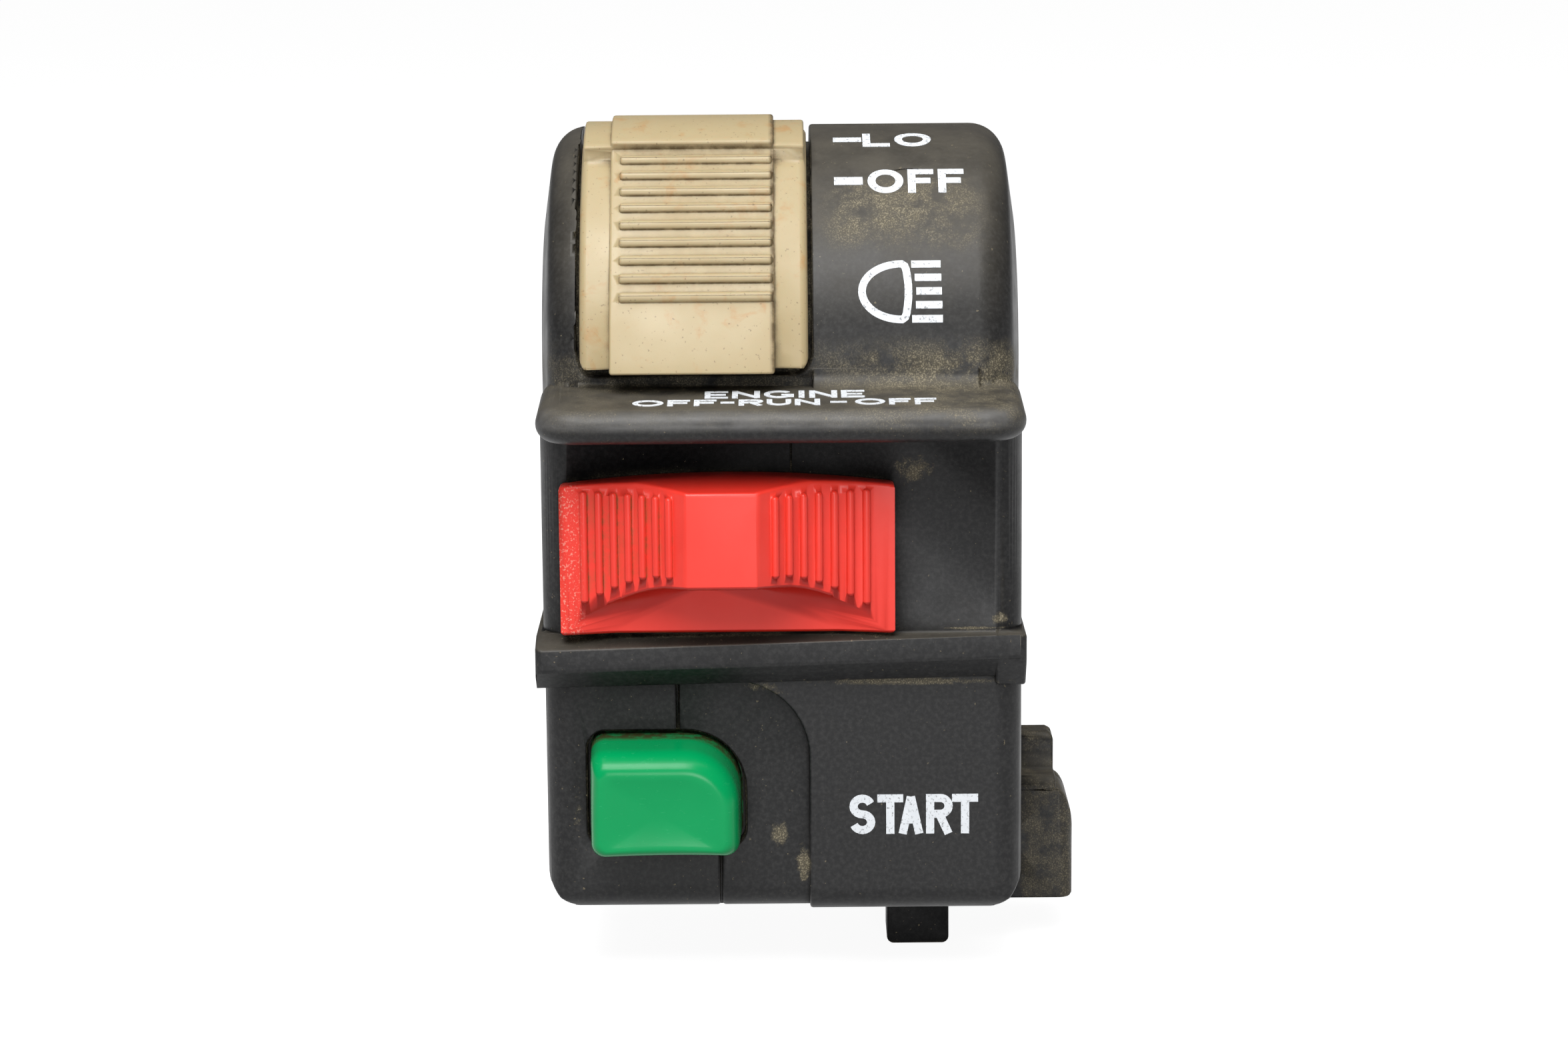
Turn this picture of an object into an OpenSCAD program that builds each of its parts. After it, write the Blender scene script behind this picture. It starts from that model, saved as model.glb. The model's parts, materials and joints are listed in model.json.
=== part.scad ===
// Handlebar switch cluster: a clamp-on case in two halves that carries a curved headlight
// slider, an engine stop slider and a starter button, with the switch gear behind each.
// The handlebar runs along X through the origin. The rider is towards -Y and Z is up.
// Sizes are millimetres. Angles round the bar start at the front and rise over the top.

/* [Handlebar clamp] */
// Diameter of the handlebar
bar_d = 22.2; // [21.6:0.1:23]
// Length of the bar saddle at each end of the case
saddle_len = 4.5; // [3.5:0.25:5]

/* [Case] */
// Width of the case along the bar
case_w = 40; // [39.5:0.5:44]
// Thickness of the front wall
wall = 1.8; // [1.5:0.1:2.2]
// Thickness of the side walls below the bar
side_wall = 2.2; // [1.8:0.1:2.6]
// Radius of the case's long outer edges
edge_r = 2.4; // [1:0.1:3]
// Radius of the case's lower corners
corner_r = 3.6; // [2:0.1:4]
// Depth of the rear half below the bar, from the joint face
rear_depth = 12; // [11:0.5:15]
// Radius of the rear half's outer edges
rear_edge_r = 3; // [1.5:0.25:4]
// How far each end of the barrel narrows towards its crown
barrel_taper = 1; // [0.5:0.1:1.5]
// Height over which the ends of the barrel narrow
barrel_taper_h = 7; // [5:0.5:8]
// Radius of the barrel's end edges
barrel_edge_r = 3; // [2:0.25:3.5]
// How far the stop and label panels stand ahead of the barrel
face_step = 0.5; // [0.3:0.1:1.5]
// Height of the starter bay, from the ridge to the bottom
start_bay_h = 20.2; // [19.4:0.2:24]
// Depth of the recess round the starter button
start_recess = 1.2; // [0.8:0.1:1.6]
// Radius of the starter recess's upper corner
start_recess_r = 6.5; // [3:0.5:8]
// Width and depth of the moulding lines in the panels
witness_w = 0.2; // [0.1:0.05:0.4]

/* [Visor and ridge] */
// Reach of the visor ahead of the barrel
visor_reach = 8.65; // [8:0.05:11]
// Drop of the visor's underside below the bar axis
visor_under = 3.6; // [3.4:0.05:5]
// Radius of the visor's nose
visor_nose_r = 1.45; // [1:0.05:1.6]
// Slope of the visor's top
visor_slope = 5; // [2:1:12]
// Radius where the visor's top meets the barrel
visor_fillet = 1.5; // [1:0.25:3]
// Radius of the visor's front corners
visor_corner_r = 3.4; // [2:0.1:4.5]
// How far the ridge stands out of the left side
ridge_lip = 0.5; // [0.1:0.05:0.8]
// Height of the stop bay between visor and ridge
stop_bay_h = 17.1; // [16.9:0.1:20]
// Height of the ridge under the stop bay
ridge_h = 4.2; // [3.6:0.2:6]
// Reach of the ridge ahead of the panel
ridge_reach = 2.5; // [1.5:0.25:3.5]
// Height of the ridge's flat front
ridge_front_h = 1.85; // [1.4:0.05:2]
// Fall of the ridge's top towards the front, at the left
ridge_fall = 0.9; // [0.6:0.1:1]

/* [Headlight slider] */
// Width of the rim left of the slider
rim_w = 3.2; // [2.6:0.1:3.6]
// Width of the slider
light_w = 18.8; // [18.4:0.1:19.6]
// Angle of the slider's lower end
light_from = 3.5; // [3.5:0.5:6]
// Angle of the slider's upper end
light_to = 75.5; // [72:0.5:78]
// Turn from the first detent to the last
light_travel = 40; // [30:2:40]
// Depth of the slider's recess in the barrel
recess_d = 1.5; // [1.2:0.1:2]
// Thickness of the slider's side rails
light_rail_t = 2.4; // [2:0.1:2.8]
// Width of each side rail
light_rail_w = 2.5; // [2:0.05:3]
// Height of the thumb face above the rails, halfway up
light_face_step = 0.2; // [0.1:0.05:0.6]
// Radius of the thumb face's curve
light_face_r = 40; // [34:1:46]
// Height of the thumb lip's crest above the middle of the face
light_lip_h = 1.6; // [1.2:0.1:2]
// Angle of the thumb lip's crest
light_lip_at = 59; // [57:1:61]
// Radius of the thumb lip's back
light_lip_r = 12; // [10:0.5:16]
// Number of thumb ribs
light_ribs = 9; // [7:1:9]
// Distance between thumb ribs, along the face
light_rib_pitch = 1.64; // [1.5:0.01:1.66]
// Radius of a thumb rib
light_rib_r = 0.46; // [0.36:0.02:0.5]
// Smooth length of the face below the ribs
light_plain = 6.55; // [5.5:0.05:6.8]
// Angle of the stem that passes through the barrel
light_stem_at = 26; // [24:1:28]
// Half angle of the stem
light_stem_half = 7; // [6:0.5:8]
// Width of the stem along the bar
light_stem_w = 8.6; // [8.2:0.1:9.5]

/* [Stop slider] */
// Length of the stop slider along the bar
stop_len = 27.6; // [26:0.2:29]
// Gap from the slider's end to the end of the case at each end of its travel
stop_end_gap = 1.7; // [1.2:0.1:2.5]
// Height of the slider at its middle
stop_h = 13.4; // [12.6:0.1:13.4]
// Rise of the slider's arched top
stop_arch = 0.9; // [0.4:0.1:1.2]
// Fall of the slider's top towards its front
stop_fall = 0.7; // [0.3:0.1:1]
// Thickness of the slider's base
stop_base_t = 1.3; // [1:0.1:1.6]
// Height of the centre block above the panel
stop_block_p = 6.5; // [6:0.1:7.5]
// Half width of the centre block at its front
stop_block_w = 2.85; // [2.4:0.05:3.4]
// Half width of the centre block at its root
stop_root_w = 3.9; // [3.8:0.1:4.6]
// Height of the wings above the panel at the centre block
stop_wing_in = 5.6; // [5:0.1:5.8]
// Height of the wings above the panel at their ends
stop_wing_out = 2.0; // [1.8:0.1:2.4]
// Radius of the hollow of each wing
stop_wing_r = 18; // [16:0.5:30]
// Number of ribs on each wing
stop_ribs = 7; // [5:1:7]
// Distance between wing ribs, along the wing
stop_rib_pitch = 1.3; // [1.1:0.02:1.32]
// Radius of a wing rib
stop_rib_r = 0.34; // [0.24:0.02:0.4]
// Height of the arch under the centre block
stop_arch_h = 4.8; // [4:0.1:5.2]
// Length of the stem that passes through the panel
stop_stem_w = 7; // [6.4:0.2:7.4]
// Height of the stem
stop_stem_h = 4.2; // [4:0.1:4.6]

/* [Starter button] */
// Width of the button
start_w = 12.6; // [11.5:0.1:13]
// Height of the button
start_h = 9.45; // [9:0.05:10.6]
// Distance from the button to the left side of the case
start_left = 3.85; // [3.85:0.05:5]
// Distance from the button to the bottom of the case
start_low = 5.95; // [5.2:0.05:6.2]
// Reach of the button ahead of its recess
start_reach = 5.7; // [5:0.1:6.2]
// Travel of the button
start_travel = 2.5; // [2:0.1:2.6]
// Radius of the button's small corners
start_corner_r = 1.2; // [1.2:0.1:2]
// Radius of the button's large corner
start_big_r = 4.7; // [4:0.1:5]
// Radius of the button's front edge
start_edge_r = 1.6; // [1.2:0.1:1.8]
// Depth of the hollow in the button's face
start_dish = 0.25; // [0.15:0.05:0.4]

/* [Switch gear] */
// Thickness of the contact plates
plate_t = 1.2; // [1.1:0.1:1.5]
// Thickness of the moving contacts
contact_t = 0.5; // [0.4:0.05:0.6]
// Thickness of the headlight carriage
light_carriage_t = 2.3; // [2.1:0.1:2.8]
// Thickness of the stop carriage
stop_carriage_t = 5; // [4.8:0.1:5.5]
// Diameter of the headlight detent ball
light_ball_d = 2.5; // [2.2:0.1:2.6]
// Diameter of the stop detent ball
stop_ball_d = 3; // [2.6:0.1:3.1]
// Diameter of the thin rear stem of the button
start_stem_d = 3; // [2.8:0.1:3.2]

/* [Outlet and tab] */
// Bore of the harness grommet
harness_d = 6; // [5:0.1:6.4]
// Wall of the harness grommet
grommet_t = 0.6; // [0.5:0.05:0.9]
// Wall of the outlet
outlet_wall = 1.8; // [1.6:0.1:2.2]
// Length of the outlet below the case
outlet_drop = 3; // [2.5:0.1:5]
// Height of the outlet up to its neck
outlet_h = 9.9; // [9.5:0.1:11]
// Height of the outlet's neck
outlet_neck_h = 4.2; // [3.4:0.1:5]
// Width of the tab under the case
tab_w = 5.4; // [4:0.1:7]
// Length of the tab below the case
tab_drop = 6.4; // [5.5:0.1:8]
// Depth of the tab, front to back
tab_t = 5; // [4.5:0.1:5.5]

/* [Fasteners] */
// Thread diameter of the case screws
case_screw_d = 4; // [3.5:0.1:4.2]
// Length of the case screws under the head
case_screw_len = 18; // [16:0.5:18.5]
// Thread diameter of the plate screws
plate_screw_d = 1.8; // [1.6:0.1:2]

/* [Clearances] */
// Gap between parts that slide on each other
slide_gap = 0.3; // [0.2:0.05:0.4]
// Gap between the bar and the headlight contact plate
bar_gap = 0.5; // [0.3:0.05:0.8]
// Gap between a screw and its hole, on the radius
hole_gap = 0.05; // [0.03:0.01:0.1]

/* [Hidden] */
$fn = 64;

case_black = [0.13, 0.13, 0.14];
ivory = [0.83, 0.75, 0.58];
stop_red = [0.86, 0.16, 0.12];
start_green = [0.02, 0.55, 0.30];
nylon = [0.85, 0.84, 0.80];
phenolic = [0.42, 0.24, 0.13];
brass = [0.80, 0.62, 0.28];
steel = [0.70, 0.70, 0.72];
rubber = [0.08, 0.08, 0.08];

far = 60;      // past every face of the part
sliver = 0.01; // least thickness and least gap
blend = 0.002; // how far a round runs past the faces that it blends into
bite = 0.4;    // how far a post or stem runs into what it grows from
hw = case_w / 2;

// Radii round the bar, from the bar outwards
bar_r = bar_d / 2;
light_plate_in = bar_r + bar_gap;
light_plate_out = light_plate_in + plate_t;
light_carriage_in = light_plate_out + contact_t + slide_gap;
light_carriage_out = light_carriage_in + light_carriage_t;
barrel_in = light_carriage_out + slide_gap;
recess_r = barrel_in + wall;
barrel_r = recess_r + recess_d;
light_in = recess_r + slide_gap;
light_rail_out = light_in + light_rail_t;
light_face_mid = light_rail_out + light_face_step;

// Depths ahead of the bar axis
face_p = barrel_r + face_step;
start_p = face_p - start_recess;
visor_p = barrel_r + visor_reach;
ridge_p = face_p + ridge_reach;
stop_inner_p = face_p - wall;
start_inner_p = start_p - wall;

// Heights, from the bar axis down
stop_bay_top = -visor_under;
ridge_top = stop_bay_top - stop_bay_h;
ridge_low = ridge_top - ridge_h;
case_low = ridge_low - start_bay_h;
block_lap = 1.4; // of the block into the visor
block_top = stop_bay_top + block_lap;

// Places along the bar
recess_x0 = -hw + rim_w;
recess_x1 = recess_x0 + light_w + 2 * slide_gap;
light_x0 = recess_x0 + slide_gap;
light_x1 = light_x0 + light_w;
light_x = (light_x0 + light_x1) / 2;
stop_travel = case_w - 2 * stop_end_gap - stop_len;
stop_x = -hw + stop_end_gap + stop_len / 2;
stop_low = ridge_top + slide_gap;
stop_z = stop_low + stop_h / 2;
start_x0 = -hw + start_left;
start_x1 = start_x0 + start_w;
start_z0 = case_low + start_low;
start_z1 = start_z0 + start_h;
start_x = (start_x0 + start_x1) / 2;
start_z = (start_z0 + start_z1) / 2;

// A point in the side view, at an angle round the bar and a distance from its axis
function ray(angle, r) = [-r * cos(angle), r * sin(angle)];

// Revolves a flat profile round the bar: its first axis is the distance from the bar's
// axis, its second the place along the bar
module around_bar(from, to)
  rotate([0, 90, 0]) rotate([0, 0, 270 - to]) rotate_extrude(angle = to - from) children();

// Stands its child on the bar's axis at a place along the bar, with Z pointing outwards
module radial(x, angle) translate([x, 0, 0]) rotate([90 - angle, 0, 0]) children();

// Extrudes a side view (Y, Z) along the bar
module along_bar(x0, x1)
  translate([x0, 0, 0]) rotate([90, 0, 90]) linear_extrude(x1 - x0) children();

// Extrudes a front view (X, Z) from front to back
module along_depth(front, back)
  translate([0, back, 0]) rotate([90, 0, 0]) linear_extrude(back - front) children();

// Extrudes a plan (X, Y) upwards
module upwards(low, high) translate([0, 0, low]) linear_extrude(high - low) children();

// Stands its child at a place in the front view, with Z pointing to the rear
module rearwards(x, front, z) translate([x, front, z]) rotate([-90, 0, 0]) children();

// What a round of radius r takes off the lower left corner of a flat shape
module corner_waste(r) difference() {
  translate([-1, -1]) square(r + 1);
  translate([r, r]) circle(r);
}

// Rectangle between two corners, with its own radius at each: lower left, lower right,
// upper right, upper left (0 leaves a corner square)
module round_rect(x0, y0, x1, y1, radii) difference() {
  translate([x0, y0]) square([x1 - x0, y1 - y0]);
  if (radii[0] > 0) translate([x0, y0]) corner_waste(radii[0]);
  if (radii[1] > 0) translate([x1, y0]) mirror([1, 0]) corner_waste(radii[1]);
  if (radii[2] > 0) translate([x1, y1]) rotate(180) corner_waste(radii[2]);
  if (radii[3] > 0) translate([x0, y1]) mirror([0, 1]) corner_waste(radii[3]);
}

// Wedge of the side view between two angles round the bar
module wedge(from, to) polygon([[0, 0], ray(from, far), ray(to, far)]);

// Screw with its head's seat at the origin and its shank along +Z
cross_share = 0.28; // width of the cross slot as a share of the head's radius
module pan_screw(d, len, head_r, head_h) difference() {
  union() {
    cylinder(d = d, h = len);
    translate([0, 0, -head_h]) cylinder(r = head_r, h = head_h);
  }
  for (turn = [0, 90])
    rotate(turn) translate([-head_r * 0.65, -head_r * cross_share / 2, -head_h - 1])
      cube([head_r * 1.3, head_r * cross_share, 1 + head_h * 0.55]);
}

// Compression spring along +Z: one tube on a helix, with its coils' gap printed
spring_sides = 6;
spring_rings = 12; // rings a turn
module coil_spring(name, mean_r, wire, len, turns) {
  steps = round(turns * spring_rings);
  pitch = (len - wire) / turns;
  echo(str(name, " least gap between coils ", pitch - wire));
  points = [for (i = [0:steps], k = [0:spring_sides - 1])
    let (turn = 360 * i / spring_rings, side = 360 * k / spring_sides,
         r = mean_r + wire / 2 * cos(side))
      [r * cos(turn), r * sin(turn), wire / 2 + pitch * turn / 360 + wire / 2 * sin(side)]];
  skin = [for (i = [0:steps - 1], k = [0:spring_sides - 1])
    let (a = i * spring_sides + k, b = i * spring_sides + (k + 1) % spring_sides)
      each [[a, a + spring_sides, b], [b, a + spring_sides, b + spring_sides]]];
  first_cap = [for (k = [1:spring_sides - 2]) [0, k, k + 1]];
  last = steps * spring_sides;
  last_cap = [for (k = [1:spring_sides - 2]) [last, last + k + 1, last + k]];
  polyhedron(points, concat(skin, first_cap, last_cap));
}

// Section of the barrel, from the bar's axis to its crown: the ends lean in towards the
// crown and meet it in a round that touches both
taper_len = sqrt(pow(barrel_taper, 2) + pow(barrel_taper_h, 2));
round_at = barrel_r - barrel_edge_r;
round_x = hw - (round_at - barrel_r + barrel_taper_h) * barrel_taper / barrel_taper_h
          - barrel_edge_r * taper_len / barrel_taper_h;
round_touch = [round_at + barrel_edge_r * barrel_taper / taper_len,
               round_x + barrel_edge_r * barrel_taper_h / taper_len];
module barrel_section() {
  polygon([[0, -hw], [barrel_r - barrel_taper_h, -hw], [round_touch[0], -round_touch[1]],
           [round_at, -round_x], [barrel_r, -round_x], [barrel_r, round_x],
           [round_at, round_x], round_touch, [barrel_r - barrel_taper_h, hw], [0, hw]]);
  for (side = [-1, 1])
    translate([round_at, side * round_x]) circle(barrel_edge_r + blend);
}

// Box below the bar between two depths, with rounded edges
module lower_block(front, back, front_r, back_r) intersection() {
  upwards(case_low, block_top)
    round_rect(-hw, front, hw, back, [front_r, front_r, back_r, back_r]);
  along_depth(front, back)
    round_rect(-hw, case_low, hw, far, [corner_r, corner_r, 0, 0]);
  along_bar(-hw, hw)
    round_rect(front, case_low, back, far, [front_r, back_r, 0, 0]);
}

// Visor over the stop bay: a plate with a bull nose and round ends, whose top slopes up to
// the barrel, and a hollow round between the two beside the slider's recess
visor_in = 0.05;  // from the sides of the case to the visor's ends
visor_tail = 17;  // where the visor's ends stop inside the barrel
visor_half = hw - visor_in;
nose = [-visor_p + visor_nose_r, stop_bay_top + visor_nose_r];
nose_touch = nose + visor_nose_r * [-sin(visor_slope), cos(visor_slope)];
visor_root = nose_touch[1] + (-barrel_r - nose_touch[0]) * tan(visor_slope);
visor_tail_r = (visor_root + (barrel_r - visor_tail) * tan(visor_slope) - stop_bay_top) / 2;
module visor_corner() translate([visor_half - visor_corner_r, -visor_p + visor_corner_r, nose[1]])
  rotate_extrude($fn = 48)
    translate([visor_corner_r - visor_nose_r, 0]) circle(visor_nose_r, $fn = 32);
module visor_end() translate([visor_half - visor_tail_r, -visor_tail, stop_bay_top + visor_tail_r])
  rotate([-90, 0, 0]) cylinder(r = visor_tail_r, h = sliver, $fn = 48);
fillet_at = [-barrel_r - visor_fillet,
             visor_root - visor_fillet * tan(visor_slope) + visor_fillet / cos(visor_slope)];
fillet_touch = fillet_at + visor_fillet * [sin(visor_slope), -cos(visor_slope)];
module visor_hollow() difference() {
  polygon([fillet_touch - [0, bite], fillet_touch, fillet_at,
           [-barrel_r + bite, fillet_at[1]], [-barrel_r + bite, visor_root - bite]]);
  translate(fillet_at) circle(visor_fillet + blend);
}
module visor() {
  hull() for (side = [0, 1]) mirror([side, 0, 0]) {
    visor_corner();
    visor_end();
  }
  along_bar(recess_x1, round_x) visor_hollow();
}

// Ridge under the stop bay, with a sloping underside: it sinks a little towards the left and
// ends on the right in a deeper block
ridge_rise = 1;         // how much higher its front is at the right
ridge_sink = 0.4;       // how much lower its underside is at the left
ridge_right_lip = 0.2;  // how far it stands out of the right side
ridge_corner_r = 0.6;
ridge_end_w = 2.5;      // width of the block at its right end
ridge_end_drop = 0.8;   // how much deeper that block is
function ridge_points(fall, low) =
  [[0, ridge_top], [-face_p, ridge_top], [-ridge_p, ridge_top - fall],
   [-ridge_p, ridge_top - fall - ridge_front_h], [-face_p - bite, low], [0, low]];
ridge_x0 = -hw - ridge_lip;
ridge_x1 = hw + ridge_right_lip;
ridge_right_low = ridge_low + ridge_sink;
module ridge() intersection() {
  union() {
    hull() {
      along_bar(ridge_x0, ridge_x0 + sliver) polygon(ridge_points(ridge_fall, ridge_low - ridge_sink));
      along_bar(ridge_x1 - sliver, ridge_x1)
        polygon(ridge_points(ridge_fall - ridge_rise, ridge_right_low));
    }
    along_bar(ridge_x1 - ridge_end_w, ridge_x1)
      polygon(ridge_points(ridge_fall - ridge_rise, ridge_right_low - ridge_end_drop));
  }
  upwards(-far, far) round_rect(ridge_x0, -ridge_p, ridge_x1, far,
                                [ridge_corner_r, ridge_corner_r, 0, 0]);
}

// Right-hand panel that carries the starter label, ahead of the starter recess
label_edge_in = 0.45; // from the slider recess's side to the panel's left edge
label_edge = recess_x1 - label_edge_in;
module label_panel() intersection() {
  lower_block(-face_p, 0, edge_r, 0);
  along_depth(-far, far) difference() {
    translate([-far, -far]) square([2 * far, far + ridge_low + bite]);
    round_rect(-2 * far, -2 * far, label_edge, ridge_low, [0, 0, start_recess_r, 0]);
  }
}

// Harness outlet: a box with a shoulder at its right, a ledge in front, a thin neck on the
// joint face and a sloping back
outlet_in = 0.15;     // from the end of the case to the outlet's axis
outlet_x = hw - outlet_in;
outlet_half = harness_d / 2 + grommet_t + outlet_wall;
outlet_x0 = outlet_x - outlet_half;
outlet_x1 = outlet_x + outlet_half;
outlet_neck_in = 1.5; // how much narrower the neck is
outlet_neck_t = 3.4;  // thickness of the neck
outlet_low = case_low - outlet_drop;
outlet_neck_low = outlet_low + outlet_h;
outlet_top = outlet_neck_low + outlet_neck_h;
outlet_shoulder = 3.9;   // height of the curve from neck to box
outlet_ledge_up = 1.1;   // of the ledge above the shoulder
outlet_back_down = 3.3;  // of the back's upper edge below the shoulder
outlet_back_fall = 1.6;
outlet_dome_r = 0.8;  // edge of the neck's top
outlet_ledge_r = 1.2; // edge of the ledge
outlet_rim_r = 0.4;   // edge at the mouth
outlet_edge_r = 1.2;  // upright edges
function outlet_curve(t) = [outlet_x1 - outlet_neck_in * (1 - sin(90 * t)),
                            outlet_neck_low - outlet_shoulder * (1 - cos(90 * t))];
module outlet_front() difference() {
  polygon(concat([[outlet_x0, outlet_top], [outlet_x0, outlet_low], [outlet_x1, outlet_low]],
                 [for (i = [12:-1:0]) outlet_curve(i / 12)],
                 [[outlet_x1 - outlet_neck_in, outlet_top]]));
  translate([outlet_x1, outlet_low]) mirror([1, 0]) corner_waste(outlet_rim_r);
  translate([outlet_x1 - outlet_neck_in, outlet_top]) rotate(180) corner_waste(outlet_dome_r);
}
module outlet_side() {
  round_rect(-outlet_half, outlet_low, 0, outlet_neck_low + outlet_ledge_up,
             [0, 0, 0, outlet_ledge_r]);
  round_rect(-outlet_neck_t / 2, outlet_low, outlet_neck_t / 2, outlet_top,
             [0, 0, outlet_dome_r, outlet_dome_r]);
  translate([0, outlet_neck_low - outlet_back_down])
    polygon([[0, 0], [outlet_neck_t / 2, 0], [outlet_half, -outlet_back_fall],
             [outlet_half, outlet_back_down - outlet_h], [0, outlet_back_down - outlet_h]]);
}
module outlet_outer() intersection() {
  along_depth(-outlet_half, outlet_half) outlet_front();
  along_bar(outlet_x0, outlet_x1) outlet_side();
  upwards(outlet_low, outlet_top)
    round_rect(outlet_x0, -outlet_half, outlet_x1, outlet_half,
               [outlet_edge_r, outlet_edge_r, outlet_edge_r, outlet_edge_r]);
}
outlet_bore_r = harness_d / 2 + grommet_t;
outlet_bore_h = 4.2;
grommet_len = 4;
grommet_flange = 1;   // how far the grommet's flange stands out of its bush
grommet_flange_t = 1;
// Bore for the grommet, and the way from it into the case for the wires
wire_way = [6, 4, 6]; // along the bar, across it and up
wire_way_right = 1.8; // from the outlet's axis to the right side of the way
wire_way_front = 2;   // wall ahead of the way
module outlet_bore() translate([outlet_x, 0, outlet_low]) {
  translate([0, 0, -1]) cylinder(r = outlet_bore_r, h = outlet_bore_h + 1);
  translate([0, 0, -1]) cylinder(r = outlet_bore_r + grommet_flange, h = grommet_flange_t + 1);
  translate([wire_way_right - wire_way[0], wire_way_front - outlet_half, outlet_bore_h - 1])
    cube(wire_way);
}

// Everything on one side of the joint face
module ahead() translate([-far, -2 * far, -2 * far]) cube([2 * far, 2 * far, 4 * far]);
module behind() translate([-far, 0, -2 * far]) cube([2 * far, 2 * far, 4 * far]);

module bar_bore() along_bar(-far, far) circle(bar_r);

// Case screws: one over the bar, one under it and one at the bottom
case_boss_wall = 1.4;
case_boss_r = case_screw_d / 2 + case_boss_wall;
case_screw_top = 9;     // from the right-hand end to the upper screw
case_screw_mid = 6.5;   // from the left-hand end to the middle screw
case_screw_right = 6;   // from the label panel's edge to the lower screw
case_screw_up = 5.6;    // from the bottom to the lower screw
case_screw_clear = 0.2; // between the upper boss and the bar
case_screw_places = [[hw - case_screw_top, bar_r + case_boss_r + case_screw_clear],
                     [-hw + case_screw_mid, ridge_top - ridge_h / 2],
                     [recess_x1 + case_screw_right, case_low + case_screw_up]];
case_well_h = 3.5; // depth of the wells for the screws' heads
case_screw_seat = rear_depth - case_well_h;
case_head_r = 3.7;
case_head_h = 2.6;
case_well_gap = 0.6;
case_well_r = case_head_r + case_well_gap;

// Posts inside the front half that carry the contact plates
post_r = 2;
light_carriage_lap = 1.4; // how far the carriage reaches past the slot on each side
light_carriage_half = light_stem_w / 2 + light_carriage_lap;
light_post_x = light_x + light_carriage_half + slide_gap + post_r;
light_post_at = [2, 72];
light_plate_below = 38;
light_plate_above = 12;
light_plate_from = light_stem_at - light_plate_below;
light_plate_to = light_stem_at + light_travel + light_plate_above;
light_ledge = 0.7; // thickness of the ledge under the headlight plate's left edge
light_plate_lap = 1.6; // how far the plate reaches past the carriage on its left
light_plate_x0 = light_x - light_carriage_half - light_plate_lap;
stop_carriage_lap = 3;
stop_carriage_half = stop_stem_w / 2 + stop_carriage_lap;
stop_plate_p = stop_inner_p - slide_gap - stop_carriage_t - contact_t - slide_gap;
stop_post_x = stop_x + stop_travel + stop_carriage_half + slide_gap + post_r;
start_plate_p = 7; // front of the starter's contact plate, ahead of the bar axis
start_plate_t = 2.5;
start_post_gap = 2.4;
start_post_dz = 4.8;
start_post_x = start_x1 + start_post_gap + post_r;
start_posts = [[start_post_x, start_z + start_post_dz], [start_post_x, start_z - start_post_dz]];
start_ledge_w = 0.9; // width of the ledge by the left side wall

module front_posts() {
  for (angle = light_post_at)
    radial(light_post_x, angle) translate([0, 0, light_plate_out])
      cylinder(r = post_r, h = far);
  around_bar(light_plate_from, light_plate_to)
    translate([light_plate_out, -hw]) square([light_ledge, light_plate_x0 + 1 + hw]);
  for (side = [-1, 1])
    rearwards(side * stop_post_x, -far, stop_z)
      cylinder(r = post_r, h = far - stop_plate_p);
  for (place = start_posts)
    rearwards(place[0], -far, place[1]) cylinder(r = post_r, h = far - start_plate_p);
  translate([-hw, -far, start_z - start_h / 2])
    cube([side_wall + start_ledge_w, far - start_plate_p, start_h]);
  for (place = case_screw_places)
    rearwards(place[0], -far, place[1]) cylinder(r = case_boss_r, h = far);
}

// Pilot holes for the plate screws and the case screws
plate_screw_len = 4;
module front_screw_holes() {
  for (angle = light_post_at)
    radial(light_post_x, angle) translate([0, 0, light_plate_out - bite])
      cylinder(d = plate_screw_d + 2 * hole_gap, h = plate_screw_len + bite);
  for (side = [-1, 1])
    rearwards(side * stop_post_x, -stop_plate_p - plate_screw_len, stop_z)
      cylinder(d = plate_screw_d + 2 * hole_gap, h = plate_screw_len + bite);
  for (place = start_posts)
    rearwards(place[0], -start_plate_p - plate_screw_len, place[1])
      cylinder(d = plate_screw_d + 2 * hole_gap, h = plate_screw_len + bite);
  for (place = case_screw_places)
    rearwards(place[0], case_screw_seat - case_screw_len - 0.5, place[1])
      cylinder(d = case_screw_d + 2 * hole_gap, h = far);
}

// Space inside one half: round the bar between the saddles, and below it
module saddles() for (side = [0, 1]) mirror([side, 0, 0])
  along_bar(hw - saddle_len, hw + 1) circle(barrel_in);
module front_cavity() {
  along_bar(-hw + saddle_len, hw - saddle_len) circle(barrel_in);
  difference() {
    union() {
      translate([-hw + side_wall, -stop_inner_p, ridge_low])
        cube([case_w - 2 * side_wall, far, stop_bay_top - wall - ridge_low]);
      translate([-hw + side_wall, -start_inner_p, case_low + wall])
        cube([case_w - 2 * side_wall, far, start_bay_h]);
    }
    saddles();
  }
}
module rear_cavity() {
  along_bar(-hw + saddle_len, hw - saddle_len) circle(barrel_in);
  difference() {
    translate([-hw + side_wall, -far, case_low + wall])
      cube([case_w - 2 * side_wall, far + rear_depth - wall, -case_low - wall]);
    saddles();
  }
}

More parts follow.
